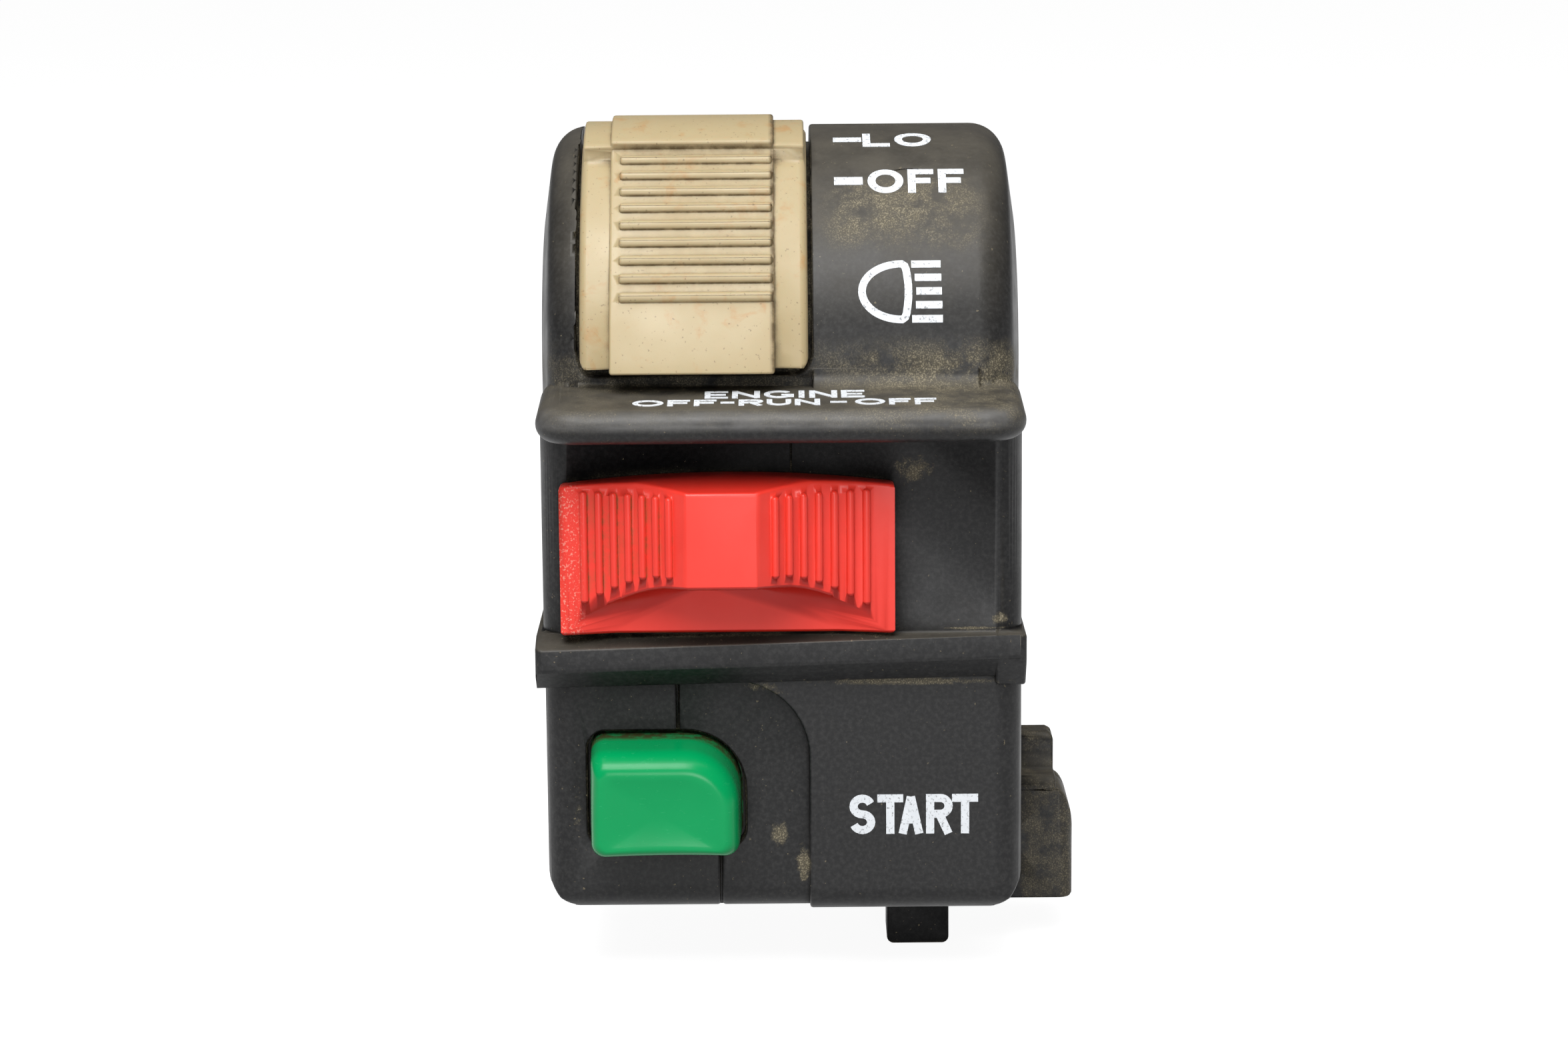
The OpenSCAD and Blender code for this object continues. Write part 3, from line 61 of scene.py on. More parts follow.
# The case's main sizes in millimetres, as the solids have them
BARREL_R = 19.5
VISOR_ROOT_Z = -0.065
VISOR_SLOPE = math.radians(5)
LABEL_PANEL_Y = -20.0

# Camera: the photograph's frame, pitch and roll
PITCH = math.radians(11)
ROLL = math.radians(0.47)
CAMERA_AT = Vector((0.19, -356.26, 53.92)) * MM
LENS = 95.07
SENSOR = 36.0
CLIP_NEAR = 0.01
CLIP_FAR = 20.0


def metres(values):
    return [value * MM for value in values]


def radians(values):
    return [math.radians(value) for value in values]


def add_camera():
    data = bpy.data.cameras.new("camera")
    data.lens = LENS
    data.sensor_width = SENSOR
    data.clip_start = CLIP_NEAR
    data.clip_end = CLIP_FAR
    camera = bpy.data.objects.new("camera", data)
    scene.collection.objects.link(camera)
    across = Vector((1, 0, 0))
    up = Vector((0, math.sin(PITCH), math.cos(PITCH)))
    right = across * math.cos(ROLL) - up * math.sin(ROLL)
    top = across * math.sin(ROLL) + up * math.cos(ROLL)
    back = right.cross(top)
    turn = Matrix((right, top, back)).transposed().to_4x4()
    camera.matrix_world = Matrix.Translation(CAMERA_AT) @ turn
    scene.camera = camera


CREVICE_SAMPLES = 8


class Look:
    """A node material on the Principled shader. Each method adds nodes and gives back their output."""

    def __init__(self, name, **fixed):
        self.material = bpy.data.materials.new(name)
        self.material.use_nodes = True
        self.tree = self.material.node_tree
        self.shader = self.tree.nodes["Principled BSDF"]
        for key, value in fixed.items():
            self.shader.inputs[key.replace("_", " ")].default_value = value
        place = self.tree.nodes.new("ShaderNodeTexCoord")
        self.place = place.outputs["Object"]
        apart = self.tree.nodes.new("ShaderNodeSeparateXYZ")
        self.tree.links.new(self.place, apart.inputs[0])
        self.x, self.y, self.z = apart.outputs

    def put(self, socket, value):
        if isinstance(value, bpy.types.NodeSocket):
            self.tree.links.new(value, socket)
        else:
            socket.default_value = value

    def noise(self, scale, detail=3.0, rough=0.55, stretch=None, warp=0.0):
        node = self.tree.nodes.new("ShaderNodeTexNoise")
        node.inputs["Scale"].default_value = scale
        node.inputs["Detail"].default_value = detail
        node.inputs["Roughness"].default_value = rough
        node.inputs["Distortion"].default_value = warp
        place = self.place
        if stretch:
            mapping = self.tree.nodes.new("ShaderNodeMapping")
            mapping.inputs["Scale"].default_value = stretch
            self.tree.links.new(place, mapping.inputs["Vector"])
            place = mapping.outputs["Vector"]
        self.tree.links.new(place, node.inputs["Vector"])
        return node.outputs["Fac"]

    def ramp(self, value, low, high, start=0.0, end=1.0):
        node = self.tree.nodes.new("ShaderNodeMapRange")
        node.interpolation_type = "SMOOTHSTEP"
        numbers = (value, low, high, start, end)
        for socket, number in zip(node.inputs[:5], numbers):
            self.put(socket, number)
        return node.outputs["Result"]

    def band(self, value, low, high, soft):
        rise = self.ramp(value, low - soft, low + soft)
        fall = self.ramp(value, high - soft, high + soft, 1.0, 0.0)
        return self.times(rise, fall)

    def chain(self, operation, first, *others):
        total = first
        for other in others:
            node = self.tree.nodes.new("ShaderNodeMath")
            node.operation = operation
            self.put(node.inputs[0], total)
            self.put(node.inputs[1], other)
            total = node.outputs[0]
        return total

    def times(self, *values):
        return self.chain("MULTIPLY", *values)

    def plus(self, *values):
        return self.chain("ADD", *values)

    def most(self, *values):
        return self.chain("MAXIMUM", *values)

    def minus(self, first, second):
        return self.chain("SUBTRACT", first, second)

    def angle_round_bar(self):
        return self.chain("ARCTAN2", self.z, self.times(self.y, -1.0))

    def facing_up(self):
        geometry = self.tree.nodes.new("ShaderNodeNewGeometry")
        apart = self.tree.nodes.new("ShaderNodeSeparateXYZ")
        self.tree.links.new(geometry.outputs["Normal"], apart.inputs[0])
        return apart.outputs[2]

    def mix(self, share, first, second):
        node = self.tree.nodes.new("ShaderNodeMix")
        node.data_type = "RGBA"
        self.put(node.inputs[0], share)
        for socket, colour in zip(node.inputs[6:8], (first, second)):
            self.put(socket, colour if isinstance(colour, bpy.types.NodeSocket) else (*colour, 1.0))
        return node.outputs[2]

    def crevice(self, reach):
        """Near 1 deep in a groove or corner narrower than reach millimetres, and 0 in the open."""
        node = self.tree.nodes.new("ShaderNodeAmbientOcclusion")
        node.samples = CREVICE_SAMPLES
        node.inputs["Distance"].default_value = reach * MM
        return self.minus(1.0, node.outputs["AO"])

    def finish(self, colour, roughness, height, strength, depth):
        """Joins colour, roughness and a bump that is depth millimetres deep to the shader."""
        self.put(self.shader.inputs["Base Color"], colour)
        self.put(self.shader.inputs["Roughness"], roughness)
        bump = self.tree.nodes.new("ShaderNodeBump")
        bump.inputs["Strength"].default_value = strength
        bump.inputs["Distance"].default_value = depth * MM
        self.tree.links.new(height, bump.inputs["Height"])
        self.tree.links.new(bump.outputs["Normal"], self.shader.inputs["Normal"])
        return self.material


# Case plastic, the dust on it, the painted shade of its sheltered places and the painted highlight on the
# visor's nose
CASE_DARK = (0.0072, 0.0072, 0.0078)
CASE_PALE = (0.0142, 0.0140, 0.0145)
CASE_GRAIN = (0.048, 0.0475, 0.0470)
# Painted shade for sheltered places, such as under the visor
CASE_PAINTED_SHADE = (0.0016, 0.0016, 0.0017)
# Painted highlight on the visor's nose, together with its rubbed wear
CASE_RUBBED_HIGHLIGHT = (0.125, 0.122, 0.118)
DUST_FILM = (0.105, 0.094, 0.074)
DUST_BED = (0.125, 0.107, 0.071)
DUST_FLECK = (0.34, 0.295, 0.20)
DUST_STRAY = (0.22, 0.185, 0.12)

# Dusty zones: from, to and softness, in degrees round the bar or in millimetres
PANEL_ANGLES = (36, 53, 5)
PANEL_ACROSS = (4.5, 16.0, 2.0)
ROOT_ANGLES = (-3, 9, 4)
ROOT_ACROSS = (2.0, 13.0)
OUTLET_ACROSS = (20.3, 21.3)
# Band of the visor's nose, rubbed paler and carrying a painted highlight
NOSE_DEPTH = (-26.2, -24.6)
NOSE_HEIGHT = (-2.3, -0.9, 0.35)

# Patches of dirt on the rider's side of the case: (x, z, half width, half height, amount)
DIRT_PATCHES = (
    (-0.4, -38.5, 0.7, 1.2, 1.0),
    (1.6, -41.0, 0.6, 1.8, 1.0),
    (-1.8, -25.6, 2.0, 0.7, 0.7),
    (10.5, -25.0, 8.0, 0.35, 0.9),
    (15.8, -20.5, 2.6, 0.12, 1.0),
    (18.0, -19.7, 0.7, 0.5, 1.0),
    (10.8, -7.0, 1.8, 1.2, 0.8),
    (-17.4, -36.0, 0.5, 2.2, 0.6),
)
DIRT_SOFTNESS = 0.95
RIDERS_SIDE = (-17.5, -17.0)


def dust_zones(look, patch):
    """Thick dust on the barrel's right-hand panel, the visor's root and the outlet, and in corners."""
    theta = look.angle_round_bar()
    panel = look.times(
        look.band(theta, *radians(PANEL_ANGLES)),
        look.band(look.x, *metres(PANEL_ACROSS)),
    )
    root = look.times(
        look.band(theta, *radians(ROOT_ANGLES)),
        look.ramp(look.x, *metres(ROOT_ACROSS), 0.3, 1.0),
    )
    groove = look.ramp(look.crevice(1.6), 0.40, 0.85)
    outlet = look.ramp(look.x, *metres(OUTLET_ACROSS), 0.0, 0.5)
    return look.most(
        look.times(panel, patch),
        look.times(root, patch, 0.9),
        look.times(groove, patch, 0.5),
        look.times(outlet, patch),
    )


def caked_dirt(look):
    """Ragged patches of dirt on the rider's side."""
    ahead = look.ramp(look.y, *metres(RIDERS_SIDE), 1.0, 0.0)
    ragged = look.times(look.noise(900, 6, 0.75, warp=0.6), 0.9)
    near = 0.0
    for x, z, half_x, half_z, amount in DIRT_PATCHES:
        across = look.band(look.x, *metres((x - half_x, x + half_x, DIRT_SOFTNESS * half_x)))
        upright = look.band(look.z, *metres((z - half_z, z + half_z, DIRT_SOFTNESS * half_z)))
        near = look.most(look.times(across, upright, amount), near)
    caked = look.ramp(look.plus(ragged, look.times(near, 0.5)), 0.68, 0.92)
    return look.times(caked, ahead, look.ramp(near, 0.02, 0.2))


def rubbed_nose_and_highlight(look):
    """The visor's nose, which hands have rubbed paler, with a painted highlight band along it."""
    nose = look.times(
        look.ramp(look.y, *metres(NOSE_DEPTH), 1.0, 0.0),
        look.band(look.z, *metres(NOSE_HEIGHT)),
    )
    rub = look.ramp(look.noise(700, 4, 0.65, stretch=(0.25, 1.0, 1.0)), 0.30, 0.70, 0.35, 1.0)
    return look.times(nose, rub, 0.75)


def case_plastic():
    """Charcoal moulded plastic with a fine grain, pale dust where the years left it, painted shade in
    sheltered places and a painted highlight on the visor's nose.
    """
    look = Look("case_plastic", IOR=1.49)
    blotch = look.noise(260, 4, 0.6)
    grain = look.noise(2600, 3, 0.6)
    patch = look.ramp(look.noise(420, 5, 0.7), 0.36, 0.62)
    base = look.mix(blotch, CASE_DARK, CASE_PALE)
    base = look.mix(look.ramp(grain, 0.35, 0.8, 0.0, 0.5), base, CASE_GRAIN)
    # A film of dust lies on all that faces up
    film = look.times(look.ramp(look.facing_up(), 0.05, 0.95), look.ramp(blotch, 0.3, 0.7, 0.45, 0.7))
    colour = look.mix(film, base, DUST_FILM)
    # Painted highlight: the visor's nose is painted paler along a band, partly rubbed wear
    colour = look.mix(rubbed_nose_and_highlight(look), colour, CASE_RUBBED_HIGHLIGHT)
    # Painted shade: sheltered places, such as under the visor, are painted dark, and their specular is
    # turned down so they don't shine
    shade = look.crevice(9.0)
    look.put(look.shader.inputs["Specular IOR Level"], look.ramp(shade, 0.30, 0.62, 0.25, 0.03))
    colour = look.mix(look.ramp(shade, 0.36, 0.62, 0.0, 0.8), colour, CASE_PAINTED_SHADE)
    # Dust has a dull bed with pale flecks in it, and a few stray grains lie elsewhere
    dusty = look.most(dust_zones(look, patch), caked_dirt(look))
    fleck = look.ramp(look.noise(7600, 3, 0.65), 0.48, 0.64)
    stray = look.ramp(look.noise(3100, 2, 0.5), 0.70, 0.74)
    stray = look.times(stray, look.ramp(patch, 0.2, 0.9, 0.0, 0.6))
    colour = look.mix(look.times(dusty, 0.62), colour, DUST_BED)
    colour = look.mix(look.times(fleck, dusty, 0.75), colour, DUST_FLECK)
    colour = look.mix(stray, colour, DUST_STRAY)
    roughness = look.plus(look.ramp(blotch, 0.3, 0.7, 0.36, 0.46), look.times(dusty, 0.2))
    return look.finish(colour, roughness, look.noise(4200, 2, 0.5), 0.12, 0.05)


# Cream headlight slider
IVORY_PALE = (0.450, 0.366, 0.215)
IVORY_DEEP = (0.385, 0.297, 0.158)
IVORY_STAIN = (0.42, 0.20, 0.055)
IVORY_DIRT = (0.070, 0.042, 0.016)
IVORY_EDGE = (-0.75, -0.35, 0.2)


def aged_ivory():
    """Cream plastic that has yellowed, with brown dirt in its grooves and along its edges."""
    look = Look(
        "aged_ivory", IOR=1.5, Specular_IOR_Level=0.4, Subsurface_Weight=0.10, Subsurface_Scale=0.0006,
    )
    cloud = look.noise(150, 4, 0.6)
    stain = look.ramp(look.noise(420, 5, 0.62, warp=0.4), 0.56, 0.74)
    base = look.mix(cloud, IVORY_PALE, IVORY_DEEP)
    base = look.mix(look.times(stain, 0.5), base, IVORY_STAIN)
    groove = look.ramp(look.crevice(1.3), 0.15, 0.46)
    breakup = look.ramp(look.noise(900, 4, 0.65), 0.30, 0.62, 0.45, 1.0)
    edge = look.band(look.x, *metres(IVORY_EDGE))
    dirt = look.times(look.most(groove, look.times(edge, 0.9)), breakup, 0.95)
    speck = look.times(look.ramp(look.noise(3600, 2, 0.5), 0.67, 0.72), 0.45)
    colour = look.mix(look.most(dirt, speck), base, IVORY_DIRT)
    roughness = look.plus(look.ramp(cloud, 0.3, 0.7, 0.35, 0.47), look.times(dirt, 0.3))
    return look.finish(colour, roughness, look.noise(1400, 4, 0.6), 0.12, 0.06)


# Red stop slider
RED_BRIGHT = (0.86, 0.047, 0.030)
RED_DEEP = (0.75, 0.036, 0.023)
# Painted shade: a deeper red for faces turned down and a darker red for faces turned up
RED_UNDERSIDE_SHADE = (0.50, 0.012, 0.005)
RED_TOP_SHADE = (0.62, 0.020, 0.012)
RED_RUBBED = (0.86, 0.46, 0.36)
RED_DIRT = (0.20, 0.105, 0.035)
RED_DIRT_ACROSS = (-14.0, -5.0)
RED_RUBBED_ACROSS = (-17.2, -16.0)


def stop_red():
    """Satin red plastic with olive dirt between the ribs and a rubbed left end, and painted shade on
    faces turned down and on faces turned up.
    """
    look = Look(
        "stop_red", IOR=1.5, Specular_IOR_Level=0.4, Subsurface_Weight=0.05, Subsurface_Scale=0.0005,
    )
    cloud = look.noise(180, 4, 0.6)
    base = look.mix(cloud, RED_BRIGHT, RED_DEEP)
    # Painted shade: faces turned down are painted a deeper red
    under = look.ramp(look.facing_up(), -0.30, -0.03, 1.0, 0.0)
    base = look.mix(under, base, RED_UNDERSIDE_SHADE)
    # Painted shade: faces turned up are painted a darker red
    top = look.ramp(look.facing_up(), 0.55, 0.95)
    base = look.mix(look.times(top, 0.5), base, RED_TOP_SHADE)
    left = look.ramp(look.x, *metres(RED_DIRT_ACROSS), 1.0, 0.15)
    groove = look.ramp(look.crevice(1.2), 0.20, 0.52)
    breakup = look.ramp(look.noise(1000, 4, 0.65), 0.34, 0.64, 0.15, 1.0)
    dirt = look.times(groove, breakup, left, 0.85)
    rubbed = look.times(
        look.ramp(look.x, *metres(RED_RUBBED_ACROSS), 1.0, 0.0),
        look.ramp(look.noise(5600, 2, 0.6), 0.56, 0.66),
    )
    colour = look.mix(look.times(rubbed, 0.55), base, RED_RUBBED)
    colour = look.mix(dirt, colour, RED_DIRT)
    roughness = look.plus(look.ramp(cloud, 0.3, 0.7, 0.32, 0.44), look.times(dirt, 0.3))
    return look.finish(colour, roughness, look.noise(1800, 4, 0.6), 0.10, 0.05)


# Green starter button
GREEN_BRIGHT = (0.0004, 0.335, 0.099)
GREEN_DEEP = (0.0004, 0.272, 0.079)
GREEN_SCUFF = (0.04, 0.40, 0.17)
GREEN_GRIME = (0.045, 0.050, 0.016)
GREEN_SEAT = (-20.4, -19.2)


def start_green():
    """Glossy green plastic, lightly scuffed, with dirt where it meets the case."""
    look = Look("start_green", IOR=1.5, Specular_IOR_Level=0.2)
    cloud = look.noise(160, 3, 0.55)
    scuff = look.ramp(look.noise(900, 4, 0.65, stretch=(1.0, 1.0, 3.0)), 0.60, 0.76)
    colour = look.mix(cloud, GREEN_BRIGHT, GREEN_DEEP)
    colour = look.mix(look.times(scuff, 0.25), colour, GREEN_SCUFF)
    seat = look.ramp(look.y, *metres(GREEN_SEAT))
    grime = look.times(seat, look.ramp(look.noise(1300, 4, 0.65), 0.36, 0.56, 0.35, 1.0))
    colour = look.mix(grime, colour, GREEN_GRIME)
    sheen = look.ramp(cloud, 0.3, 0.7, 0.20, 0.28)
    roughness = look.plus(sheen, look.times(scuff, 0.18), look.times(grime, 0.3))
    return look.finish(colour, roughness, look.noise(1300, 3, 0.6), 0.05, 0.05)


# Metals, inner plastics and print: (bright or pale tone, dull or deep tone)
STEEL = ((0.58, 0.58, 0.60), (0.30, 0.27, 0.24))
BRASS = ((0.80, 0.58, 0.26), (0.42, 0.27, 0.11))
NYLON = ((0.66, 0.63, 0.55), (0.54, 0.50, 0.42))
PHENOLIC = ((0.17, 0.075, 0.032), (0.10, 0.042, 0.018))
RUBBER = ((0.022, 0.022, 0.022), (0.035, 0.034, 0.032))
PRINT = ((0.80, 0.83, 0.86), (0.66, 0.69, 0.73))
POLYMER_GRIME = (0.03, 0.026, 0.02)
PRINT_WORN = (0.12, 0.12, 0.125)


def metal(name, tones, rough):
    """Bare metal with a fine turned grain and duller patches."""
    look = Look(name, Metallic=1.0)
    patch = look.ramp(look.noise(500, 4, 0.6), 0.42, 0.66)
    grain = look.noise(2400, 3, 0.6, stretch=(1.0, 1.0, 5.0))
    colour = look.mix(patch, *tones)
    roughness = look.plus(look.ramp(grain, 0.3, 0.7, rough, rough + 0.12), look.times(patch, 0.12))
    return look.finish(colour, roughness, grain, 0.08, 0.03)


def polymer(name, tones, rough, scale, strength):
    """Nylon, laminate or rubber: a mottled surface with a moulded grain."""
    look = Look(name, IOR=1.5)
    cloud = look.noise(scale, 4, 0.6)
    groove = look.ramp(look.crevice(1.2), 0.35, 0.85, 0.0, 0.5)
    colour = look.mix(groove, look.mix(cloud, *tones), POLYMER_GRIME)
    roughness = look.ramp(cloud, 0.3, 0.7, rough, rough + 0.15)
    return look.finish(colour, roughness, look.noise(scale * 8, 3, 0.6), strength, 0.05)


def white_print():
    """Printed white lettering, rubbed thin in places."""
    look = Look("white_print", IOR=1.45)
    wear = look.ramp(look.noise(3800, 3, 0.6), 0.30, 0.46, 0.75, 0.0)
    tone = look.mix(look.noise(700, 3, 0.6), *PRINT)
    colour = look.mix(wear, tone, PRINT_WORN)
    return look.finish(colour, look.ramp(wear, 0.0, 1.0, 0.55, 0.7), look.noise(3800, 3, 0.6), 0.1, 0.02)


def make_looks():
    return {
        "case_black": case_plastic(),
        "ivory": aged_ivory(),
        "stop_red": stop_red(),
        "start_green": start_green(),
        "steel": metal("steel", STEEL, 0.26),
        "brass": metal("brass", BRASS, 0.24),
        "nylon": polymer("nylon", NYLON, 0.42, 300, 0.10),
        "phenolic": polymer("phenolic", PHENOLIC, 0.38, 420, 0.12),
        "rubber": polymer("rubber", RUBBER, 0.62, 500, 0.25),
        "print": white_print(),
    }


def dress_nodes(looks):
    for name, node in nodes.items():
        for place in node.material_slots:
            place.material = looks[slot_of_node[name]]


def new_piece(name, mesh, body, material):
    piece = bpy.data.objects.new(name, mesh)
    scene.collection.objects.link(piece)
    mesh.materials.clear()
    mesh.materials.append(material)
    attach(piece, body)
    return piece


def arc(centre, rx, ry, start, end, count=14):
    turns = [math.radians(start + (end - start) * i / count) for i in range(count + 1)]
    return [(centre[0] + rx * math.cos(t), centre[1] + ry * math.sin(t)) for t in turns]


# Moulded edges: each visible moulding is a copy of its solid with its outer edges rounded, by millimetres
EDGE_WIDTHS = {"front_case": 0.22, "rear_case": 0.25, "light_slider": 0.22, "stop_slider": 0.3}
MERGE = 0.002 * MM
FLAT_ANGLE = math.radians(0.6)
EDGE_ANGLE = math.radians(35)
SHADE_ANGLE = math.radians(40)
EDGE_ROOM = 2.2
EDGE_SEGMENTS = 2


def depth_from_edge(edge, face):
    """How far a face reaches from one of its edges, across that edge."""
    start = edge.verts[0].co
    along = (edge.verts[1].co - start).normalized()
    across = face.normal.cross(along)
    reaches = [(v.co - start).dot(across) for v in face.verts]
    return max(max(reaches), -min(reaches))


def is_outer_edge(edge, width):
    """Whether an edge stands out, is sharp, and has faces deep enough on both sides to be rounded."""
    if len(edge.link_faces) != 2 or not edge.is_convex:
        return False
    if edge.calc_face_angle() < EDGE_ANGLE:
        return False
    return all(depth_from_edge(edge, face) > EDGE_ROOM * width for face in edge.link_faces)


def shade_by_angle(mesh):
    mesh.shade_smooth()
    mesh.set_sharp_from_angle(angle=SHADE_ANGLE)


def add_rounded_copy(node, width, looks):
    """A piece that stands for a moulded node, with its outer edges rounded to width millimetres."""
    mesh = nodes[node].data.copy()
    mesh.name = node + "_skin"
    shape = bmesh.new()
    shape.from_mesh(mesh)
    bmesh.ops.remove_doubles(shape, verts=shape.verts, dist=MERGE)
    bmesh.ops.dissolve_limit(shape, angle_limit=FLAT_ANGLE, verts=shape.verts, edges=shape.edges)
    edges = [e for e in shape.edges if is_outer_edge(e, width * MM)]
    bmesh.ops.bevel(
        shape, geom=edges, offset=width * MM, offset_type="OFFSET", segments=EDGE_SEGMENTS,
        profile=0.5, affect="EDGES", clamp_overlap=False,
    )
    bmesh.ops.triangulate(shape, faces=[f for f in shape.faces if len(f.verts) > 4])
    shape.to_mesh(mesh)
    shape.free()
    shade_by_angle(mesh)
    slot = slot_of_node[node]
    piece = new_piece(node + "_skin", mesh, body_of_node[node], looks[slot])
    weighted = piece.modifiers.new("even_shading", "WEIGHTED_NORMAL")
    weighted.keep_sharp = True
    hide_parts(node)


# Starter button: a soft pillow in place of the solid's cap, on the solid's flange and stem.
# Insets are (left, low, right, high), and corner radii go round from the low left.
CAP_FLANGE = 0.6
CAP_SEAT = 6.2
CAP_LAP = 0.4
CAP_DISH = 0.22
CAP_WAIST = 0.2
CAP_WAIST_H = 2
CAP_INSET = (0, 0, 0, 0)
CAP_CORNERS = (1.2, 1.2, 4.7, 1.2)
RIM_INSET = (0.10, 0.10, 0.15, 0.35)
RIM_CORNERS = (1.15, 1.15, 4.5, 1.15)
FACE_INSET = (0.95, 0.85, 1.45, 2.2)
FACE_CORNERS = (0.75, 0.75, 3.3, 0.75)
ROUND_LEAST = 0.35
ROUND_SHARE = 1.1
CAP_ROUND_STEPS = 9
CAP_FACE_STEPS = (0.12, 0.3, 0.55, 0.8)
CORNER_STEPS = 9
SIDE_STEPS = 10


def rounded_loop(box, inset, corners, waist):
    """Points of an inset rectangle with a radius for each corner, its low side drawn in by waist."""
    x0, z0, x1, z1 = box[0] + inset[0], box[1] + inset[1], box[2] - inset[2], box[3] - inset[3]
    turns = ((x0, z0, 1, 1, 180), (x1, z0, -1, 1, 270), (x1, z1, -1, -1, 0), (x0, z1, 1, -1, 90))
    arcs = []
    for (x, z, sx, sz, start), r in zip(turns, corners):
        arcs.append(arc((x + sx * r, z + sz * r), r, r, start, start + 90, CORNER_STEPS))
    points = []
    for here, following in zip(arcs, arcs[1:] + arcs[:1]):
        points += here
        a, b = Vector(here[-1]), Vector(following[0])
        points += [tuple(a.lerp(b, i / SIDE_STEPS)) for i in range(1, SIDE_STEPS)]
    middle, half = (x0 + x1) / 2, (x1 - x0) / 2
    loop = []
    for x, z in points:
        drawn_in = waist * (1 - ((x - middle) / half) ** 2) * max(0.0, 1 - (z - z0) / CAP_WAIST_H)
        loop.append(Vector((x, z + drawn_in)))
    return loop


def cap_rings(box, front):
    """Rings of the cap in millimetres, from its seat over the rounded rim to the dished face's middle."""
    root = rounded_loop(box, CAP_INSET, CAP_CORNERS, 0.0)
    rim = rounded_loop(box, RIM_INSET, RIM_CORNERS, CAP_WAIST)
    face = rounded_loop(box, FACE_INSET, FACE_CORNERS, CAP_WAIST)
    rings = [[(p.x, front + CAP_SEAT, p.y) for p in root]]
    for step in range(CAP_ROUND_STEPS + 1):
        turn = math.radians(90 * step / CAP_ROUND_STEPS)
        ring = []
        for outer, inner in zip(rim, face):
            depth = ROUND_LEAST + ROUND_SHARE * (inner - outer).length
            p = outer.lerp(inner, 1 - math.cos(turn))
            ring.append((p.x, front + depth * (1 - math.sin(turn)), p.y))
        rings.append(ring)
    centre = sum(face, Vector((0, 0))) / len(face)
    for share in CAP_FACE_STEPS:
        sink = CAP_DISH * (1 - (1 - share) ** 2)
        rings.append([(p.x, front + sink, p.y) for p in (q.lerp(centre, share) for q in face)])
    return rings, (centre.x, front + CAP_DISH, centre.y)


def add_starter_cap(looks):
    low, high = (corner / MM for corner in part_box("start_button"))
    box = (low.x + CAP_FLANGE, low.z + CAP_FLANGE, high.x - CAP_FLANGE, high.z - CAP_FLANGE)
    front = low.y
    rings, centre = cap_rings(box, front)
    shape = bmesh.new()
    shape.from_mesh(nodes["start_button"].data)
    everything = shape.verts[:] + shape.edges[:] + shape.faces[:]
    cut = (0, (front + CAP_SEAT - CAP_LAP) * MM, 0)
    bmesh.ops.bisect_plane(shape, geom=everything, plane_co=cut, plane_no=(0, 1, 0), clear_inner=True)
    rows = [[shape.verts.new(Vector(p) * MM) for p in ring] for ring in rings]
    count = len(rings[0])
    for a, b in zip(rows, rows[1:]):
        for i in range(count):
            j = (i + 1) % count
            shape.faces.new((a[i], a[j], b[j], b[i]))
    top = shape.verts.new(Vector(centre) * MM)
    for i in range(count):
        shape.faces.new((rows[-1][i], rows[-1][(i + 1) % count], top))
    bmesh.ops.recalc_face_normals(shape, faces=shape.faces)
    mesh = bpy.data.meshes.new("start_button_skin")
    shape.to_mesh(mesh)
    shape.free()
    shade_by_angle(mesh)
    piece = new_piece("start_button_skin", mesh, "start_switch", looks["start_green"])
    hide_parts("start_button")


def add_start_spring(looks):
    """The starter's return spring, a copy of its solid with a mesh of its own."""
    node = "start_return_spring"
    mesh = nodes[node].data.copy()
    mesh.name = node + "_coil"
    slot = slot_of_node[node]
    piece = new_piece(node + "_coil", mesh, body_of_node[node], looks[slot])
    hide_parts(node)
    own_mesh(piece)


# Studio: a pale floor that is white to the eye, an even sky and three soft lamps, in metres and watts
FLOOR_HALF = 4.0
FLOOR_GAP = 0.2 * MM
FLOOR_GLOW = 0.93
FLOOR_GREY = (0.28, 0.28, 0.28, 1)
SKY_COLOUR = (1, 1, 1, 1)
SKY_STRENGTH = 0.14
LAMPS = (
    ("key", (-0.10, -0.40, 0.47), 0.35, 4.2),
    ("top", (0.06, -0.10, 0.60), 0.50, 1.6),
    ("front", (0.05, -0.62, 0.04), 0.16, 1.05),
)
LAMP_AIM = Vector((0, 0, -0.015))


def seen_rays(tree):
    """1 for rays that show the floor itself, straight, mirrored or through something clear."""
    rays = tree.nodes.new("ShaderNodeLightPath")
    total = rays.outputs["Is Camera Ray"]
    for kind in ("Is Glossy Ray", "Is Transmission Ray"):
        node = tree.nodes.new("ShaderNodeMath")
        node.operation = "MAXIMUM"
        tree.links.new(total, node.inputs[0])
        tree.links.new(rays.outputs[kind], node.inputs[1])
        total = node.outputs[0]
    return total


def floor_material():
    material = bpy.data.materials.new("floor")
    material.use_nodes = True
    tree = material.node_tree
    tree.nodes.clear()
    level = tree.nodes.new("ShaderNodeMath")
    level.operation = "MULTIPLY"
    level.inputs[1].default_value = FLOOR_GLOW
    glow = tree.nodes.new("ShaderNodeEmission")
    diffuse = tree.nodes.new("ShaderNodeBsdfDiffuse")
    diffuse.inputs["Color"].default_value = FLOOR_GREY
    both = tree.nodes.new("ShaderNodeAddShader")
    out = tree.nodes.new("ShaderNodeOutputMaterial")
    tree.links.new(seen_rays(tree), level.inputs[0])
    tree.links.new(level.outputs[0], glow.inputs["Strength"])
    tree.links.new(glow.outputs[0], both.inputs[0])
    tree.links.new(diffuse.outputs[0], both.inputs[1])
    tree.links.new(both.outputs[0], out.inputs["Surface"])
    return material


